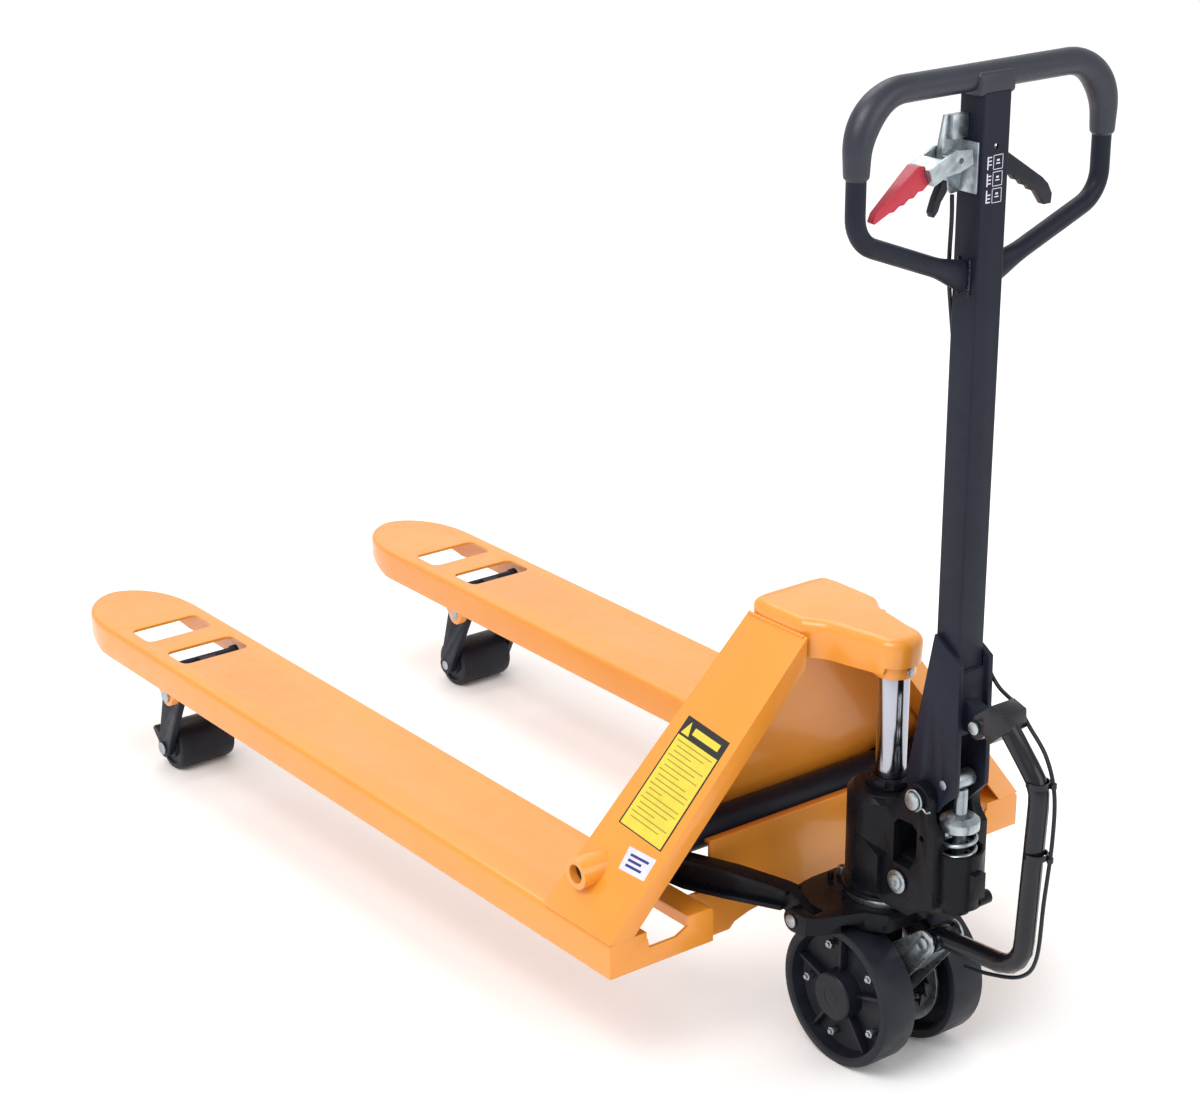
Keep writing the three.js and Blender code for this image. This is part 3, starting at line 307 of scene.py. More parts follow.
def piece(name, mesh, material):
    shade(mesh, material)
    obj = bpy.data.objects.new(name, mesh)
    bpy.context.scene.collection.objects.link(obj)
    return obj


def mesh_of(name, bm):
    bmesh.ops.recalc_face_normals(bm, faces=bm.faces)
    mesh = bpy.data.meshes.new(name)
    bm.to_mesh(mesh)
    bm.free()
    return mesh


def modified(obj):
    """Applies every modifier of obj to its mesh."""
    graph = bpy.context.evaluated_depsgraph_get()
    mesh = bpy.data.meshes.new_from_object(obj.evaluated_get(graph))
    material = obj.data.materials[0]
    obj.modifiers.clear()
    obj.data = mesh
    shade(mesh, material)
    return obj


def bevelled(obj, width, segments=3, angle=40):
    """Rounds every edge of obj that turns by more than angle degrees."""
    bevel = obj.modifiers.new("bevel", "BEVEL")
    bevel.width = width
    bevel.segments = segments
    bevel.limit_method = "ANGLE"
    bevel.angle_limit = math.radians(angle)
    bevel.use_clamp_overlap = True
    bevel.harden_normals = False
    return modified(obj)


def attach(obj, body, replaces=()):
    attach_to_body(obj, body)
    if replaces:
        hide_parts(*replaces)
    return obj


def clean_copy(node, name):
    """A copy of a CAD node's mesh with its flat faces joined up again."""
    bm = bmesh.new()
    bm.from_mesh(frame["nodes"][node].data)
    bmesh.ops.remove_doubles(bm, verts=bm.verts, dist=2e-6)
    bmesh.ops.dissolve_limit(bm, angle_limit=math.radians(1), verts=bm.verts, edges=bm.edges)
    mesh = bpy.data.meshes.new(name)
    bm.to_mesh(mesh)
    bm.free()
    return mesh


SLOTS = {row["node"]: row["material_slot"] for row in frame["record"]["subparts"]}


def soften(node, material, width, segments=2, angle=40):
    """Stands in for a CAD node with the same shape and rounded edges."""
    obj = piece(node + "_look", clean_copy(node, node + "_look"), material)
    bevelled(obj, width, segments, angle)
    body = frame["nodes"][node]["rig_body"]
    return attach(obj, body, [node])


# ---------------------------------------------------------------- camera, floor and light
def build_camera():
    camera = bpy.data.objects.new("camera", bpy.data.cameras.new("camera"))
    bpy.context.scene.collection.objects.link(camera)
    azimuth = math.radians(CAMERA_AZIMUTH)
    elevation = math.radians(CAMERA_ELEVATION)
    roll = math.radians(CAMERA_ROLL)
    back = Vector((math.sin(azimuth) * math.cos(elevation), -math.cos(azimuth) * math.cos(elevation),
                   math.sin(elevation)))
    right = Vector((math.cos(azimuth), math.sin(azimuth), 0))
    up = back.cross(right)
    aim = Vector((0, low("start_cable_lower").y + CAMERA_AIM_BEHIND_FRONT, CAMERA_AIM_HEIGHT))
    turned_right = math.cos(roll) * right + math.sin(roll) * up
    turned_up = math.cos(roll) * up - math.sin(roll) * right
    place = Matrix((turned_right, turned_up, back)).transposed().to_4x4()
    place.translation = aim + back * CAMERA_DISTANCE
    camera.matrix_world = place
    camera.data.sensor_width = 36
    camera.data.lens = CAMERA_LENS
    camera.data.shift_x, camera.data.shift_y = CAMERA_SHIFT
    bpy.context.scene.camera = camera


def area_light(name, place, aim, size, power):
    data = bpy.data.lights.new(name, "AREA")
    data.shape = "RECTANGLE"
    data.size, data.size_y = size
    data.energy = power
    light = bpy.data.objects.new(name, data)
    light.location = place
    light.rotation_euler = (Vector(aim) - Vector(place)).to_track_quat("-Z", "Y").to_euler()
    bpy.context.scene.collection.objects.link(light)


def build_stage():
    bpy.ops.mesh.primitive_plane_add(size=40, location=(0, 0, 0))
    floor = bpy.context.object
    floor.name = "floor"
    shader = Shader("floor_white", (0.96, 0.96, 0.96), 0.9)
    shader.tint(shader.noise(2, 2), (0.955, 0.955, 0.955), (0.97, 0.97, 0.97))
    floor.data.materials.append(shader.material)
    area_light("key", (-3.2, -1.2, 4.2), (0, 0, 0.3), (3.0, 2.4), 150)
    area_light("fill", (1.0, -4.5, 2.4), (0, -0.4, 0.5), (2.6, 2.6), 55)
    area_light("top", (0.4, 1.8, 4.6), (0, 0.3, 0.2), (3.0, 3.0), 78)
    area_light("backdrop", (5.5, 7.5, 4.5), (5.5, 7.5, 0), (10.0, 10.0), 130)
    world = bpy.data.worlds.new("studio")
    world.use_nodes = True
    world.node_tree.nodes["Background"].inputs["Color"].default_value = (1, 1, 1, 1)
    world.node_tree.nodes["Background"].inputs["Strength"].default_value = 0.8
    bpy.context.scene.world = world
    bpy.context.scene.view_settings.view_transform = "Standard"


# ---------------------------------------------------------------- shapes made here
def ring_solid(name, rings, material):
    """A closed solid through rings of points, each ring with the same number of points."""
    bm = bmesh.new()
    loops = [[bm.verts.new(place) for place in ring] for ring in rings]
    count = len(loops[0])
    for below, above in zip(loops, loops[1:]):
        for i in range(count):
            j = (i + 1) % count
            bm.faces.new((below[i], below[j], above[j], above[i]))
    bm.faces.new(list(reversed(loops[0])))
    bm.faces.new(loops[-1])
    return piece(name, mesh_of(name, bm), material)


def lathe(name, profile, origin, axis, material, sides=64):
    """Turns (radius, place along axis) points about axis through origin. The profile closes on itself."""
    turn = Vector((0, 0, 1)).rotation_difference(Vector(axis))
    bm = bmesh.new()
    columns = []
    for i in range(sides):
        angle = 2 * math.pi * i / sides
        columns.append([
            bm.verts.new(Vector(origin) + turn @ Vector((r * math.cos(angle), r * math.sin(angle), along)))
            for r, along in profile])
    for i in range(sides):
        this, after = columns[i], columns[(i + 1) % sides]
        for k in range(len(profile)):
            m = (k + 1) % len(profile)
            bm.faces.new((this[k], after[k], after[m], this[m]))
    bmesh.ops.remove_doubles(bm, verts=bm.verts, dist=1e-6)
    return piece(name, mesh_of(name, bm), material)


def prism(name, outline, start, end, material):
    """A flat outline of 3-D points pushed from start to end, both offsets from the outline."""
    rings = [[Vector(p) + Vector(offset) for p in outline] for offset in (start, end)]
    return ring_solid(name, rings, material)


def block(name, lowest, highest, material):
    (x0, y0, z0), (x1, y1, z1) = lowest, highest
    outline = [(x0, y0, z0), (x1, y0, z0), (x1, y1, z0), (x0, y1, z0)]
    return prism(name, outline, (0, 0, 0), (0, 0, z1 - z0), material)


def rounded_path(points, radii, steps=10):
    """Points along straight runs whose inner corners are arcs of the given radii."""
    points = [Vector(p) for p in points]
    path = [points[0]]
    for before, corner, after, radius in zip(points, points[1:], points[2:], radii):
        into = (corner - before).normalized()
        out = (after - corner).normalized()
        turn = into.angle(out)
        trim = radius * math.tan(turn / 2)
        start = corner - into * trim
        axis = into.cross(out).normalized()
        middle = start + axis.cross(into) * radius
        for i in range(steps + 1):
            path.append(middle + Matrix.Rotation(turn * i / steps, 3, axis) @ (start - middle))
    return path + [points[-1]]


def smooth_path(points, steps=8):
    """Points along a Catmull-Rom curve through the given points."""
    points = [Vector(p) for p in points]
    ends = [points[0] * 2 - points[1]] + points + [points[-1] * 2 - points[-2]]
    path = []
    for a, b, c, d in zip(ends, ends[1:], ends[2:], ends[3:]):
        for i in range(steps):
            t = i / steps
            path.append(0.5 * (2 * b + (c - a) * t + (2 * a - 5 * b + 4 * c - d) * t * t
                               + (3 * b - a - 3 * c + d) * t ** 3))
    return path + [points[-1]]


def sweep(name, path, radius, material, sides=20, wide=None):
    """A bar along path. radius is a number, or a function of the share of the way along that gives one
    radius or two, the first of them along wide."""
    radius_at = radius if callable(radius) else lambda share: radius
    directions = [(after - before).normalized() for before, after in
                  zip([path[0]] + path[:-1], path[1:] + [path[-1]])]
    across = wide or directions[0].orthogonal().normalized()
    rings = []
    for i, (place, direction) in enumerate(zip(path, directions)):
        across = (across - direction * across.dot(direction)).normalized()
        other = direction.cross(across)
        size = radius_at(i / (len(path) - 1))
        a, b = size if isinstance(size, tuple) else (size, size)
        rings.append([place + across * (a * math.cos(2 * math.pi * k / sides))
                      + other * (b * math.sin(2 * math.pi * k / sides)) for k in range(sides)])
    return ring_solid(name, rings, material)


def rod(name, start, end, radius, material, sides=32, bevel=0.0):
    obj = sweep(name, [Vector(start), Vector(end)], radius, material, sides)
    return bevelled(obj, bevel, 2) if bevel else obj


def hexagon_head(name, base, axis, across_flats, height, material):
    """A hexagon bolt head or nut standing on base along axis."""
    obj = sweep(name, [Vector(base), Vector(base) + Vector(axis) * height], across_flats / 1.732, material, 6)
    return bevelled(obj, height * 0.15, 2, 25)


def cut_out(obj, *tools):
    """Takes the tools out of obj and throws them away."""
    for tool in tools:
        boolean = obj.modifiers.new("cut", "BOOLEAN")
        boolean.operation = "DIFFERENCE"
        boolean.solver = "EXACT"
        boolean.object = tool
    modified(obj)
    for tool in tools:
        bpy.data.objects.remove(tool)
    return obj


def joined(name, objects):
    """Several objects of one or more materials made into one mesh."""
    first = objects[0]
    with bpy.context.temp_override(active_object=first, selected_editable_objects=objects):
        bpy.ops.object.join()
    first.name = name
    return first


def both_sides(build):
    """Runs build once for each side, with -1 for the left and 1 for the right."""
    for side, word in ((-1, "left"), (1, "right")):
        build(side, word)


# ---------------------------------------------------------------- forks
FORK_DEPTH = 47 * MM
FORK_SHEET = 4.5 * MM
FORK_EDGE = 7 * MM
FORK_RAMP = 117 * MM
FORK_TIP_DEPTH = 16.5 * MM
FORK_TIP = 147 * MM
SLOT_SIZE = (112 * MM, 59 * MM)
SLOT_CENTRES_FROM_TIP = (199.5 * MM, 309.5 * MM)
SLOT_CORNER = 11 * MM


def fork_plan(node, inset, heel_inset, z):
    """The fork's outline from above, moved in by inset, as points at height z."""
    lowest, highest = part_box(node)
    middle = (lowest.x + highest.x) / 2
    reach = (highest.x - lowest.x) / 2 - inset
    tip_start = highest.y - FORK_TIP
    tip = FORK_TIP - inset
    side = []
    for i in range(25):
        t = math.sin(math.pi / 2 * i / 24)
        side.append((reach * (1 - t ** 2.5) ** (1 / 1.75), tip_start + tip * t))
    heel = lowest.y + heel_inset
    outline = [(middle - reach, heel), (middle + reach, heel)]
    outline += [(middle + x, y) for x, y in side]
    outline += [(middle - x, y) for x, y in reversed(side[:-1])]
    return [Vector((x, y, z)) for x, y in outline]


def rounded_slot(name, middle, size, corner, below, above):
    """A cutting block with rounded corners, centred on middle."""
    outline = []
    for sx, sy, start in ((1, 1, 0), (-1, 1, 90), (-1, -1, 180), (1, -1, 270)):
        for i in range(7):
            angle = math.radians(start + 15 * i)
            outline.append((middle.x + sx * (size[0] / 2 - corner) + corner * math.cos(angle),
                            middle.y + sy * (size[1] / 2 - corner) + corner * math.sin(angle), below))
    return prism(name, outline, (0, 0, 0), (0, 0, above - below), AMBER)


def build_fork(side, word):
    node = "fork_" + word
    lowest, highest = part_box(node)
    top = highest.z
    bottom = top - FORK_DEPTH
    rings = [fork_plan(node, 0, 0, bottom)]
    for i in range(7):
        angle = math.pi / 2 * i / 6
        rings.append(fork_plan(node, FORK_EDGE * (1 - math.cos(angle)), 0,
                               top - FORK_EDGE * (1 - math.sin(angle))))
    fork = ring_solid(node + "_look", rings, AMBER)
    inner = [fork_plan(node, FORK_SHEET, FORK_SHEET, bottom - 0.01)]
    inner.append(fork_plan(node, FORK_SHEET, FORK_SHEET, top - FORK_SHEET - 3 * MM))
    inner.append(fork_plan(node, FORK_SHEET + 3 * MM, FORK_SHEET, top - FORK_SHEET))
    tools = [ring_solid("hollow", inner, AMBER)]
    middle = centre(node)
    for from_tip in SLOT_CENTRES_FROM_TIP:
        place = Vector((middle.x, highest.y - from_tip, 0))
        tools.append(rounded_slot("slot", place, SLOT_SIZE, SLOT_CORNER, top - 0.02, top + 0.01))
    beside, ramp_start, ramp_end = lowest.x - 0.01, highest.y - FORK_RAMP, highest.y + 0.01
    slope = [(beside, ramp_start, bottom - 0.001), (beside, ramp_end, top - FORK_TIP_DEPTH),
             (beside, ramp_end, bottom - 0.02), (beside, ramp_start, bottom - 0.02)]
    tools.append(prism("slope", slope, (0, 0, 0), (0.2, 0, 0), AMBER))
    inside = -side
    window = [(-0.020, 0.181), (0.022, 0.181), (0.040, 0.190), (0.040, top + 0.001), (-0.024, top + 0.001)]
    outline = [(middle.x + inside * across, lowest.y - 0.01, z) for across, z in window]
    tools.append(prism("window", outline, (0, 0, 0), (0, 0.02, 0), AMBER))
    well_ends = sorted((middle.x - inside * 0.024, middle.x + inside * 0.040))
    tools.append(block("well", (well_ends[0], lowest.y - 0.01, top - 0.010),
                       (well_ends[1], lowest.y + 0.134, top + 0.001), AMBER))
    cut_out(fork, *tools)
    bevelled(fork, 1.2 * MM, 3, 50)
    lugs = [build_lug(node, middle.x + offset * MM) for offset in (69, -69)]
    attach(joined(node + "_look", [fork] + lugs), "chassis", [node])


def build_lug(node, x):
    """The small plate under the fork that carries the load arm's pivot."""
    hinge = pivot("load_arm_pivot_left")
    top = high(node).z
    bottom = top - FORK_DEPTH
    outline = [(hinge.y + 0.030, bottom + 0.004), (hinge.y - 0.034, bottom + 0.004)]
    for i in range(13):
        angle = math.radians(195 + 12.5 * i)
        outline.append((hinge.y + 0.017 * math.cos(angle), hinge.z + 0.017 * math.sin(angle)))
    points = [(x - 0.0068, y, z) for y, z in outline]
    lug = prism("lug", points, (0, 0, 0), (0.0136, 0, 0), AMBER)
    return bevelled(lug, 1.5 * MM, 2)


# ---------------------------------------------------------------- hood
HOOD_EDGE = 13 * MM
HOOD_SHEET = 6 * MM
HOOD_NOTCH = 17 * MM
HOOD_RISE = 8 * MM


def hood_plan(inset, z):
    """The hood's outline from above with softened corners."""
    lowest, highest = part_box("hood")
    wide = highest.x
    back = highest.y
    piston = centre("piston").y
    nose = piston - lowest.y
    half = [(0, back), (wide * 0.8, back), (wide, back - 0.014), (wide, back - 0.070), (wide, piston + 0.106),
            (wide * 0.97, piston + 0.096), (wide * 0.70, piston + 0.074), (wide * 0.63, piston + 0.040),
            (nose * 1.02, piston + 0.012)]
    for i in range(1, 7):
        angle = math.radians(-15 * i)
        half.append((nose * math.cos(angle), piston + nose * math.sin(angle)))
    outline = half[:-1] + [(0, lowest.y)] + [(-x, y) for x, y in reversed(half[1:-1])]
    for _ in range(2):
        smooth = []
        for (x0, y0), (x1, y1) in zip(outline, outline[1:] + outline[:1]):
            smooth.append((0.75 * x0 + 0.25 * x1, 0.75 * y0 + 0.25 * y1))
            smooth.append((0.25 * x0 + 0.75 * x1, 0.25 * y0 + 0.75 * y1))
        outline = smooth
    moved = []
    for i, (x, y) in enumerate(outline):
        (x0, y0), (x1, y1) = outline[i - 1], outline[(i + 1) % len(outline)]
        normal = Vector((y1 - y0, x0 - x1)).normalized()
        moved.append(Vector((x + normal.x * inset, y + normal.y * inset, z)))
    return moved


def build_hood():
    lowest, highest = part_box("hood")
    rings = [hood_plan(0.002, lowest.z + 0.004)]
    for i in range(9):
        angle = math.pi / 2 * i / 8
        inset = HOOD_EDGE * (1 - math.cos(angle))
        rings.append(hood_plan(inset, highest.z - HOOD_EDGE * (1 - math.sin(angle))))
    hood = ring_solid("hood_look", rings, AMBER)
    inner = [hood_plan(HOOD_SHEET, lowest.z - 0.01), hood_plan(HOOD_SHEET, highest.z - 0.02)]
    hollow = ring_solid("hollow", inner, AMBER)
    piston = centre("piston")
    notch = lowest.z + HOOD_NOTCH
    lip = prism("lip", [(-0.04, lowest.y - 0.01, lowest.z - 0.01), (-0.04, piston.y - 0.004, lowest.z - 0.01),
                        (-0.04, piston.y - 0.013, notch), (-0.04, lowest.y - 0.01, notch)],
                (0, 0, 0), (0.08, 0, 0), AMBER)
    rising_edge = prism("rising_edge", [
        (-0.08, highest.y + 0.001, lowest.z - 0.01), (-0.08, highest.y + 0.001, lowest.z),
        (-0.08, lowest.y - 0.001, lowest.z + HOOD_RISE), (-0.08, lowest.y - 0.001, lowest.z - 0.01)],
        (0, 0, 0), (0.16, 0, 0), AMBER)
    cut_out(hood, hollow, lip, rising_edge)
    bevelled(hood, 1.5 * MM, 3, 50)
    boss = rod("boss", (0, piston.y, lowest.z), (0, piston.y, highest.z - 0.02), 0.0255, AMBER, 48, 1.5 * MM)
    attach(joined("hood_look", [hood, boss]), "chassis", ["hood"])


# ---------------------------------------------------------------- steering wheels
SPOKES = 5
WEB_DEPTH = 19.5 * MM
BOLT_CIRCLE = 63 * MM


def build_steer_wheel(side, word):
    node = "steer_wheel_" + word
    lowest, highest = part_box(node)
    axle = pivot("wheel_spin_" + word)
    radius = (highest.z - lowest.z) / 2
    inner = abs(lowest.x if side > 0 else highest.x)
    outer = abs(highest.x if side > 0 else lowest.x)
    face = outer - 0.005
    well = radius - 0.012
    profile = [(0.0125, inner), (0.030, inner), (0.031, inner + 0.017), (well - 0.004, inner + 0.017),
               (well, inner + 0.003), (well + 0.003, inner), (radius - 0.004, inner),
               (radius - 0.001, inner + 0.0012), (radius, inner + 0.005), (radius, face - 0.005),
               (radius - 0.001, face - 0.0012), (radius - 0.004, face), (well + 0.002, face),
               (well - 0.001, face - 0.002), (well - 0.005, face - 0.018), (well - 0.008, face - WEB_DEPTH),
               (0.036, face - WEB_DEPTH), (0.0325, face - 0.018), (0.031, outer - 0.002), (0.029, outer),
               (0.0125, outer)]
    parts = [lathe(node + "_look", profile, (0, axle.y, axle.z), (side, 0, 0), NYLON, 96)]
    for i in range(SPOKES):
        angle = math.radians(18 + 360 / SPOKES * i)
        outward = Vector((0, math.cos(angle), math.sin(angle)))
        parts.append(build_rib(axle, side, outward, face, well))
    cap = [(0.0, outer - 0.001), (0.0, outer), (0.0125, outer - 0.0003), (0.019, outer - 0.0012),
           (0.0215, outer - 0.003), (0.022, outer - 0.006), (0.0, outer - 0.006)]
    parts.append(lathe("cap", cap, (0, axle.y, axle.z), (side, 0, 0), NYLON, 48))
    attach(joined(node + "_look", parts), node, [node])
    bolts = []
    for i in range(SPOKES):
        angle = math.radians(-4 + 360 / SPOKES * i)
        outward = Vector((0, math.cos(angle), math.sin(angle)))
        base = Vector((side * (face - WEB_DEPTH), axle.y, axle.z)) + outward * BOLT_CIRCLE
        seat = base + Vector((side * 0.003, 0, 0))
        bolts.append(rod("stud", base, base + Vector((side * 0.012, 0, 0)), 0.0030, ZINC, 16))
        bolts.append(hexagon_head("nut", seat, (side, 0, 0), 0.0105, 0.0065, ZINC))
    attach(joined(node + "_bolts", bolts), node)


def build_rib(axle, side, outward, face, well):
    """One radial rib between the hub and the tyre."""
    across = Vector((1, 0, 0)).cross(outward) * 0.0021
    foot = Vector((side * (face - 0.021), axle.y, axle.z)) + outward * 0.030
    tip = Vector((side * (face - 0.021), axle.y, axle.z)) + outward * (well - 0.003)
    lift = Vector((side * 0.0135, 0, 0))
    outline = [foot - across, tip - across, tip + across, foot + across]
    return bevelled(prism("rib", outline, (0, 0, 0), lift, NYLON), 0.9 * MM, 2)


# ---------------------------------------------------------------- load rollers
def build_load_roller(side, word):
    node = "load_roller_" + word
    lowest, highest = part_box(node)
    axle = pivot("load_roller_spin_" + word)
    radius = (highest.z - lowest.z) / 2
    half = (highest.x - lowest.x) / 2
    profile = [(0.0083, -half), (0.017, -half), (0.018, -half + 0.003), (0.027, -half + 0.003),
               (0.0285, -half), (radius - 0.006, -half), (radius - 0.0015, -half + 0.0015),
               (radius, -half + 0.006)]
    profile += [(r, -along) for r, along in reversed(profile)]
    attach(lathe(node + "_look", profile, axle, (1, 0, 0), NYLON, 72), node, [node])


# ---------------------------------------------------------------- handle loop and grips
LOOP_CORNER = 62 * MM
LOOP_LOW_CORNER = 40 * MM
LOOP_LOW_BEND = 1075.5 * MM
LOOP_LOW_END = 1013 * MM
BRACKET_WEB_TOP = 552 * MM
GRIP_END_ROUND = 0.012
CORNER_SWELL = 2.6 * MM
PRESSED_SHARE = 0.055


def build_loop():
    lowest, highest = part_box("handle_loop")
    tube = (highest.y - lowest.y) / 2
    plane = (highest.y + lowest.y) / 2
    wide = highest.x - tube
    bar = highest.z - tube
    stem = high("handle_stem").x
    corners = [(-stem, plane, LOOP_LOW_END), (-wide, plane, LOOP_LOW_BEND), (-wide, plane, bar),
               (wide, plane, bar), (wide, plane, LOOP_LOW_BEND), (stem, plane, LOOP_LOW_END)]
    radii = [LOOP_LOW_CORNER, LOOP_CORNER, LOOP_CORNER, LOOP_LOW_CORNER]
    path = even_path(rounded_path(corners, radii, 14), 200)

    def tube_section(share):
        """The tube's ends are pressed flat where they meet the stem."""
        pressed = max(0.0, 1 - min(share, 1 - share) / PRESSED_SHARE)
        pressed = pressed * pressed * (3 - 2 * pressed)
        return tube * (1 - 0.28 * pressed), tube * (1 + 0.55 * pressed)

    loop = sweep("handle_loop_look", path, tube_section, BLACK, 28, Vector((0, 1, 0)))
    attach(loop, "handle", ["handle_loop"])
    grip_low, grip_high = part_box("grip_cover")
    grip = (grip_high.y - grip_low.y) / 2
    end = grip_low.z
    corners = [(-wide, plane, end), (-wide, plane, bar), (wide, plane, bar), (wide, plane, end)]
    path = even_path(rounded_path(corners, [LOOP_CORNER, LOOP_CORNER], 14), 120)

    def grip_radius(share):
        """The sleeve swells at the loop's corners and its ends are rounded."""
        edge = min(share, 1 - share)
        full = grip * 0.985 - 0.001 * max(0.0, 1 - edge / 0.09)
        full += CORNER_SWELL * math.exp(-((edge - 0.13) / 0.07) ** 2)
        if edge < GRIP_END_ROUND:
            return full - 0.0035 * (1 - edge / GRIP_END_ROUND) ** 2
        return full

    attach(sweep("grip_look", path, grip_radius, SLEEVE, 36), "handle", ["grip_cover"])


def even_path(path, count):
    """The same path cut into count equal steps."""
    lengths = [0.0]
    for before, after in zip(path, path[1:]):
        lengths.append(lengths[-1] + (after - before).length)
    evened, k = [], 0
    for i in range(count + 1):
        goal = lengths[-1] * i / count
        while k < len(path) - 2 and lengths[k + 1] < goal:
            k += 1
        share = (goal - lengths[k]) / (lengths[k + 1] - lengths[k])
        evened.append(path[k].lerp(path[k + 1], share))
    return evened


# ---------------------------------------------------------------- label and stickers
def member_point(side, across, along):
    """A place on the side member's outer face. across runs from the fork (0) up to the hood (1).

    along is y.
    """
    lowest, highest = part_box("side_member_left")
    x = lowest.x + (highest.x - lowest.x) * across
    z = lowest.z + (highest.z - lowest.z) * across
    return Vector((-side * x, along, z))


def decal(name, corners, lift, material):
    """A thin printed film on the left side member. corners are (across, y)."""
    lowest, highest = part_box("side_member_left")
    slope = Vector((highest.x - lowest.x, 0, highest.z - lowest.z)).normalized()
    normal = Vector((-slope.z, 0, slope.x))
    points = [member_point(-1, across, y) + normal * lift for across, y in corners]
    return prism(name, points, (0, 0, 0), normal * 0.00012, material)


# Corners from the top left onwards: (share of the way up the member, distance from the fork's heel).
LABEL = ((0.663, 0.079), (0.645, -0.005), (0.292, 0.005), (0.307, 0.093))
STICKER = ((0.264, 0.055), (0.267, 0.004), (0.199, 0.005), (0.195, 0.053))
FILM = 0.00015
LABEL_LINES = 17


def label_patch(corners, u0, v0, u1, v1):
    """Four corners of a patch of a label. u runs from left to right and v from top to bottom."""
    heel = low("fork_left").y
    patch = []
    for u, v in ((u0, v0), (u1, v0), (u1, v1), (u0, v1)):
        top = [a + (b - a) * u for a, b in zip(corners[0], corners[1])]
        bottom = [a + (b - a) * u for a, b in zip(corners[3], corners[2])]
        across, along = (a + (b - a) * v for a, b in zip(top, bottom))
        patch.append((across, heel + along))
    return patch


def build_label():
    """A plain label with a dark heading and lines, and a small pale sticker. Neither has letters."""
    parts = [decal("label_back", label_patch(LABEL, 0, 0, 1, 1), FILM, LABEL_BLACK),
             decal("label_field", label_patch(LABEL, 0.03, 0.165, 0.97, 0.99), 2 * FILM, LABEL_YELLOW),
             decal("label_heading", label_patch(LABEL, 0.27, 0.055, 0.88, 0.115), 2 * FILM, LABEL_YELLOW)]
    left, right = label_patch(LABEL, 0.05, 0.145, 0.23, 0.145)[:2]
    tip = label_patch(LABEL, 0.14, 0.03, 0.15, 0.04)[0]
    parts.append(decal("label_triangle", [tip, right, left], 2 * FILM, LABEL_YELLOW))
    for i in range(LABEL_LINES):
        top = 0.20 + i * 0.74 / LABEL_LINES
        end = 0.90 - 0.35 * ((i * 7) % 4 == 2) - 0.12 * (i % 3 == 1)
        start = 0.08 if i % 3 == 0 else 0.13
        patch = label_patch(LABEL, start, top, end, top + 0.009)
        parts.append(decal("label_line", patch, 3 * FILM, LABEL_INK))
    parts.append(decal("sticker", label_patch(STICKER, 0, 0, 1, 1), FILM, LABEL_WHITE))
    for v, end in ((0.22, 0.84), (0.45, 0.66), (0.68, 0.76)):
        patch = label_patch(STICKER, 0.16, v, end, v + 0.11)
        parts.append(decal("sticker_mark", patch, 2 * FILM, LABEL_BLUE))
    attach(joined("labels", parts), "chassis")


# ---------------------------------------------------------------- weld beads
def weld(name, start, end, radius, material):
    """An uneven bead along a straight seam."""
    path = even_path([Vector(start), Vector(end)], 48)

    def bead(share):
        return radius * (1 + 0.16 * math.sin(71 * share) + 0.1 * math.sin(133 * share))

    return sweep(name, path, bead, material, 10)


def build_welds():
    lowest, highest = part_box("side_member_left")
    heel = low("fork_left").y
    fork_top = high("fork_left").z
    parts = []
    for side in (-1, 1):
        x = side * (abs(lowest.x) - 0.0035)
        parts.append(weld("bead", (x, heel + 0.004, fork_top), (x, heel + 0.132, fork_top), 0.0026, AMBER))
        x = side * (abs(highest.x) + 0.0008)
        parts.append(weld("bead", (x, heel - 0.024, highest.z - 0.001), (x, heel + 0.078, highest.z - 0.001),
                          0.0022, AMBER))
    attach(joined("member_welds", parts), "chassis")
    stem_low, stem_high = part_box("handle_stem")
    loop = centre("handle_loop").y
    parts = []
    for side in (-1, 1):
        for along in (loop - 0.0085, loop + 0.0085):
            x = side * (stem_high.x + 0.0008)
            parts.append(weld("bead", (x, along, LOOP_LOW_END - 0.020), (x, along, LOOP_LOW_END + 0.021),
                              0.0018, GLOSS_BLACK))
    front = stem_low.y - 0.0006
    parts.append(weld("bead", (stem_low.x, front, BRACKET_WEB_TOP), (stem_high.x, front, BRACKET_WEB_TOP),
                      0.0016, GLOSS_BLACK))
    for side in (-1, 1):
        x = side * (stem_high.x + 0.0006)
        parts.append(weld("bead", (x, front, BRACKET_WEB_TOP + 0.002), (x, front, BRACKET_WEB_TOP + 0.013),
                          0.0014, GLOSS_BLACK))
    attach(joined("stem_welds", parts), "handle")


# ---------------------------------------------------------------- start cable
# Places of the cable, in millimetres from the joint between the handle and the start link.
CABLE_PATH = (
    (-44, 49, 612), (-42, 50, 586), (-30, 63, 526), (-12, 74, 466), (6, 75, 366), (24, 72, 266),
    (26, 72, 206), (33, 64, 116), (34, 46, 66), (33, 18, 34), (28, -20, 22), (20, -48, 8),
    (14, -82, -16), (9, -102.5, -54), (8, -104.8, -114), (8, -98, -194), (10, -90, -272),
    (16, -62, -310), (18, -12, -330), (18, 32, -338))
CABLE_RADIUS = 2.5 * MM
CLIP_DROPS = (-44, -133)


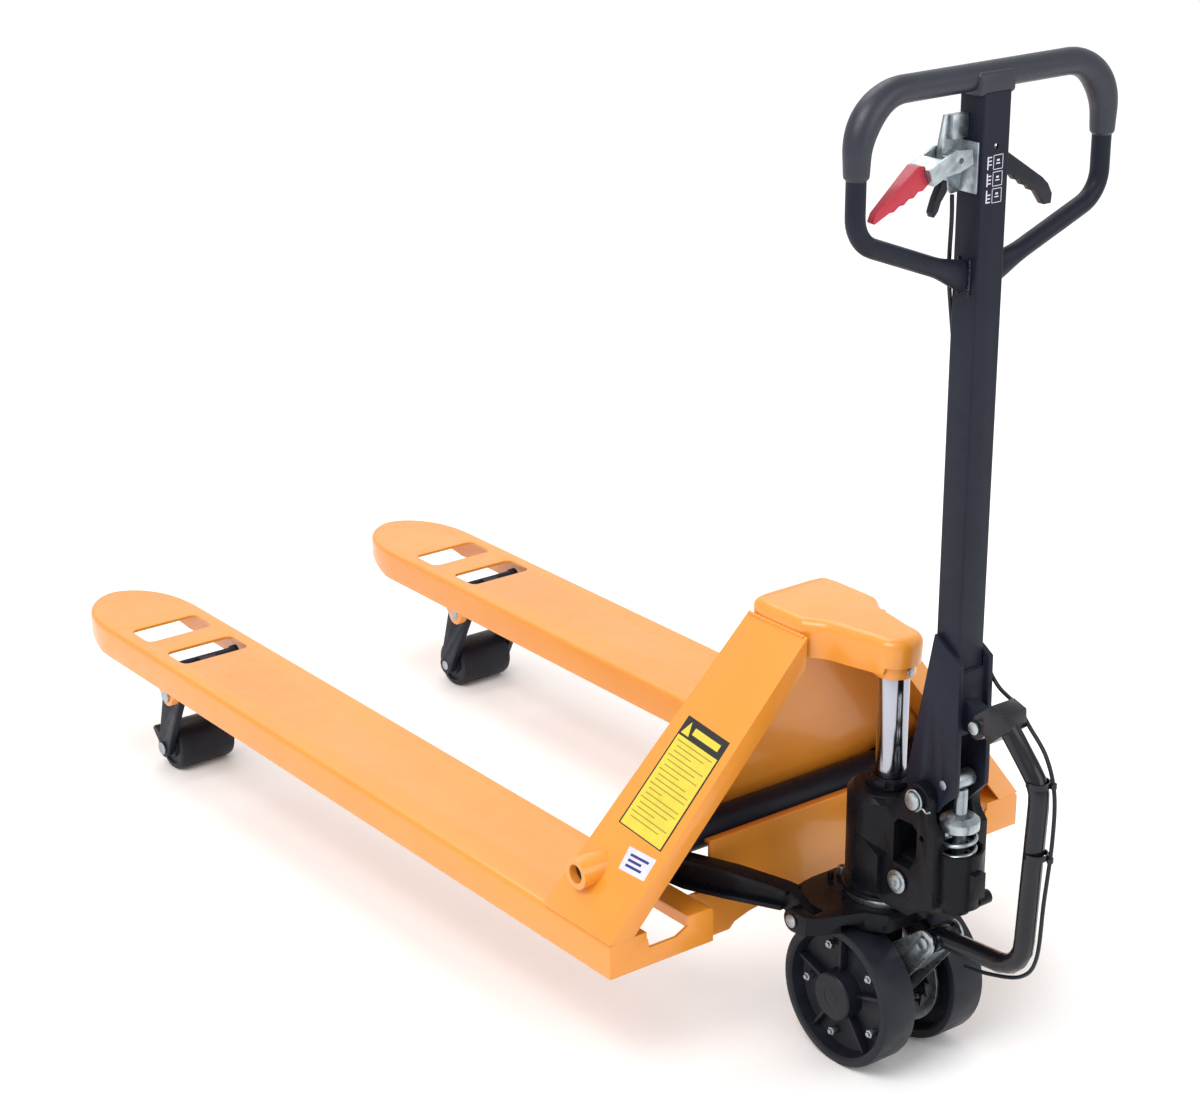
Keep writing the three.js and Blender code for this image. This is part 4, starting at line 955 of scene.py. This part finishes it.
def build_cable():
    joint = pivot("start_link_pivot")
    path = smooth_path([joint + Vector(place) * MM for place in CABLE_PATH], 10)
    cable = sweep("start_cable", path, CABLE_RADIUS, PLASTIC, 14)
    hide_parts("start_cable_upper", "start_cable_lower")
    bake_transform(cable)
    clips = []
    for drop in CLIP_DROPS:
        height = joint.z + drop * MM
        along = min(path, key=lambda place: abs(place.z - height) + (place.y > joint.y - 0.06))
        tube = Vector((0, along.y + 0.0145, height))
        ring = [(0.0126, -0.0035), (0.0142, -0.0035), (0.0142, 0.0035), (0.0126, 0.0035)]
        clips.append(lathe("clip", ring, tube, (0, 0, 1), GLOSS_BLACK, 32))
        clips.append(lathe("clip_eye", [(0.0026, -0.003), (0.0040, -0.003), (0.0040, 0.003), (0.0026, 0.003)],
                           along, (0, 0, 1), GLOSS_BLACK, 20))
    attach(joined("cable_clips", clips), "start_link")


# ---------------------------------------------------------------- stem
HANG_HOLE = {"below_top": 57.5 * MM, "radius": 3.2 * MM}
PICTOGRAM_ROWS = (1138 * MM, 1120 * MM, 1102 * MM)
PICTOGRAM_LINE = 0.7 * MM


def build_stem():
    lowest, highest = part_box("handle_stem")
    mesh = clean_copy("handle_stem", "handle_stem_look")
    stem = bevelled(piece("handle_stem_look", mesh, BLACK), 1.2 * MM, 3)
    height = highest.z - HANG_HOLE["below_top"]
    cut_out(stem, rod("hole", (0, lowest.y - 0.01, height), (0, lowest.y + 0.012, height),
                      HANG_HOLE["radius"], BLACK, 24))
    attach(stem, "handle", ["handle_stem"])
    parts = []
    face = lowest.y - FILM
    for row, height in enumerate(PICTOGRAM_ROWS):
        parts.append(printed_bar(face, -0.0125, height - 0.007, -0.0108, height + 0.007))
        for k in (-1, 0, 1):
            tick = height + 0.004 * k + 0.0022 * (1 - row)
            parts.append(printed_bar(face, -0.0105, tick - 0.0008, -0.0060, tick + 0.0005))
        parts += frame_mark(0.0035, height, 0.0068, 0.0075, face)
        parts.append(printed_bar(face, 0.0005, height - 0.002, 0.0065, height - 0.0008))
        parts.append(printed_bar(face, 0.0015, height + 0.001, 0.0055, height + 0.003))
    attach(joined("lever_marks", parts), "handle")


def printed_bar(face, x0, z0, x1, z1):
    """A thin white bar printed on the stem's front."""
    return block("mark", (x0, face, z0), (x1, face + FILM, z1), LABEL_WHITE)


def frame_mark(x, height, across, tall, face):
    """Four thin bars that make an open rectangle."""
    half = PICTOGRAM_LINE / 2
    bars = []
    for side in (-1, 1):
        edge = x + side * across
        bars.append(printed_bar(face, edge - half, height - tall, edge + half, height + tall))
        edge = height + side * tall
        bars.append(printed_bar(face, x - across, edge - half, x + across, edge + half))
    return bars


# ---------------------------------------------------------------- grips and spring
SADDLE_DEPTH = 22 * MM
START_GRIP_SLIMMER = 0.74
START_GRIP_AXIS = ((-91 * MM, 1136 * MM), (-160 * MM, 1097 * MM))
START_GRIP_TAPER = 0.45
SPRING_WIRE = 2.9 * MM
SPRING_TURNS = 5.5
SPRING_STEPS = 28


def build_saddle():
    """The moulded block of the grip that covers the top of the stem."""
    lowest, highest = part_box("handle_stem")
    saddle = block("saddle", (lowest.x - 0.007, lowest.y + 0.0005, highest.z - 0.0035),
                   (highest.x + 0.007, highest.y - 0.0005, highest.z + SADDLE_DEPTH), SLEEVE)
    saddle = bevelled(saddle, 5 * MM, 4)
    attach(saddle, "handle")


def build_start_grip():
    """The red sleeve, slimmer than its bounding shape and narrowing to its tip."""
    node = "start_lever_grip"
    mesh = clean_copy(node, node + "_look")
    middle = centre(node)
    root, tip = (Vector((x, middle.y, z)) for x, z in START_GRIP_AXIS)
    along = (tip - root).normalized()
    for vertex in mesh.vertices:
        reach = (vertex.co - root).dot(along)
        share = min(1, max(0, reach / (tip - root).length))
        offset = vertex.co - (root + along * reach)
        offset.y *= START_GRIP_SLIMMER
        vertex.co = root + along * reach + offset * (1 - START_GRIP_TAPER * share * share)
    grip = bevelled(piece(node + "_look", mesh, RED), 4 * MM, 5, 30)
    attach(grip, "start_lever", [node])


def build_spring():
    """A coil of wire in the spring's place, at one fixed length."""
    lowest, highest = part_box("plunger_spring")
    middle = centre("plunger_spring")
    reach = (highest.x - lowest.x) / 2 - SPRING_WIRE
    bottom, rise = lowest.z + SPRING_WIRE, highest.z - lowest.z - 2 * SPRING_WIRE
    steps = int(SPRING_TURNS * SPRING_STEPS)
    path = []
    for i in range(steps + 1):
        angle = 2 * math.pi * i / SPRING_STEPS
        path.append(Vector((reach * math.cos(angle), middle.y + reach * math.sin(angle),
                            bottom + rise * i / steps)))
    coil = sweep("plunger_spring_look", path, SPRING_WIRE, ZINC, 14, Vector((0, 0, 1)))
    attach(coil, "pump", ["plunger_spring"])
    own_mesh(coil)


# ---------------------------------------------------------------- small hardware
def socket_screw(base, axis, radius, height, material):
    """A cylinder head with a hexagon socket."""
    base, axis = Vector(base), Vector(axis)
    head = rod("head", base, base + axis * height, radius, material, 36, radius * 0.12)
    depth = [base + axis * height * 0.45, base + axis * (height + 0.002)]
    return cut_out(head, sweep("socket", depth, radius * 0.5, material, 6))


def build_side_screw():
    """A socket screw on a wide washer in the pump's left cheek."""
    lowest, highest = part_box("side_screw")
    middle = centre("side_screw")
    radius = (highest.z - lowest.z) / 2

    def on_axis(x):
        return (x, middle.y, middle.z)

    washer = rod("washer", on_axis(lowest.x + 0.0035), on_axis(lowest.x + 0.0057), radius, ZINC, 48, 0.0005)
    shank = rod("shank", on_axis(lowest.x + 0.0056), on_axis(highest.x), 0.008, ZINC, 32)
    head = socket_screw(on_axis(lowest.x + 0.0036), (-1, 0, 0), 0.0098, 0.0034, ZINC)
    attach(joined("side_screw_look", [washer, shank, head]), "pump", ["side_screw"])


def build_hardware():
    heel = low("fork_left").y
    plate = high("base_plate").z
    place = Vector((-0.020, heel - 0.054, plate))
    black = [rod("collar", place, place + Vector((0, 0, 0.006)), 0.0072, CASTING, 32, 0.0006),
             rod("stud", place + Vector((-0.014, 0.006, 0)), place + Vector((-0.014, 0.006, 0.010)), 0.004,
                 CASTING, 24, 0.0006)]
    attach(joined("plate_collar", black), "steer_base")
    screw = socket_screw(place + Vector((0, 0, 0.006)), (0, 0, 1), 0.0058, 0.010, ZINC)
    attach(screw, "steer_base")
    pin_low, pin_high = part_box("handle_pivot_pin")
    head = Vector((pin_low.x + 0.0045, centre("handle_pivot_pin").y, centre("handle_pivot_pin").z))
    ring = []
    for i in range(41):
        angle = math.radians(-70 + 320 * i / 40)
        ring.append(head + Vector((0, 0.0128 * math.cos(angle), 0.0128 * math.sin(angle))))
    tail = [ring[-1] + Vector((0, -0.005 - 0.006 * k, 0.004 + 0.003 * (k % 2))) for k in range(4)]
    clip = sweep("hairpin", smooth_path(ring + tail, 3), 0.0013, ZINC, 10)
    attach(clip, "pump")


# ---------------------------------------------------------------- pieces that keep the frame's shape
def build_softened():
    for node, width in {
        "side_member_left": 4.5, "side_member_right": 4.5, "inner_wall": 1, "cross_plate": 1.8,
    }.items():
        soften(node, AMBER, width * MM, 4)
    for node, width in {
        "cross_tube": 1, "push_rod_left": 1, "push_rod_right": 1, "load_arm_left": 1.5, "load_arm_right": 1.5,
        "handle_bracket": 1.2,
    }.items():
        soften(node, BLACK, width * MM)
    soften("start_link", GLOSS_BLACK, 1 * MM)
    for node, width in {
        "link_arm_left": 3, "link_arm_right": 3, "base_plate": 4, "pump_body": 2.5, "gland_nut": 1,
        "steer_yoke": 1.5,
    }.items():
        soften(node, CASTING, width * MM, 3)
    made_elsewhere = ("rocker_pin_left", "rocker_pin_right", "plunger_spring", "side_screw")
    for node, slot in SLOTS.items():
        if slot == "zinc_plate" and node not in made_elsewhere:
            soften(node, ZINC, 0.6 * MM)
    soften("rocker_pin_left", GLOSS_BLACK, 1 * MM)
    soften("rocker_pin_right", GLOSS_BLACK, 1 * MM)
    soften("piston", CHROME, 1 * MM)
    for node in ("control_lever", "lock_trigger"):
        soften(node, PLASTIC, 0.8 * MM)


build_camera()
build_stage()
both_sides(build_fork)
build_hood()
both_sides(build_steer_wheel)
both_sides(build_load_roller)
build_loop()
build_stem()
build_saddle()
build_start_grip()
build_spring()
build_cable()
build_label()
build_welds()
build_side_screw()
build_hardware()
build_softened()

write_size()
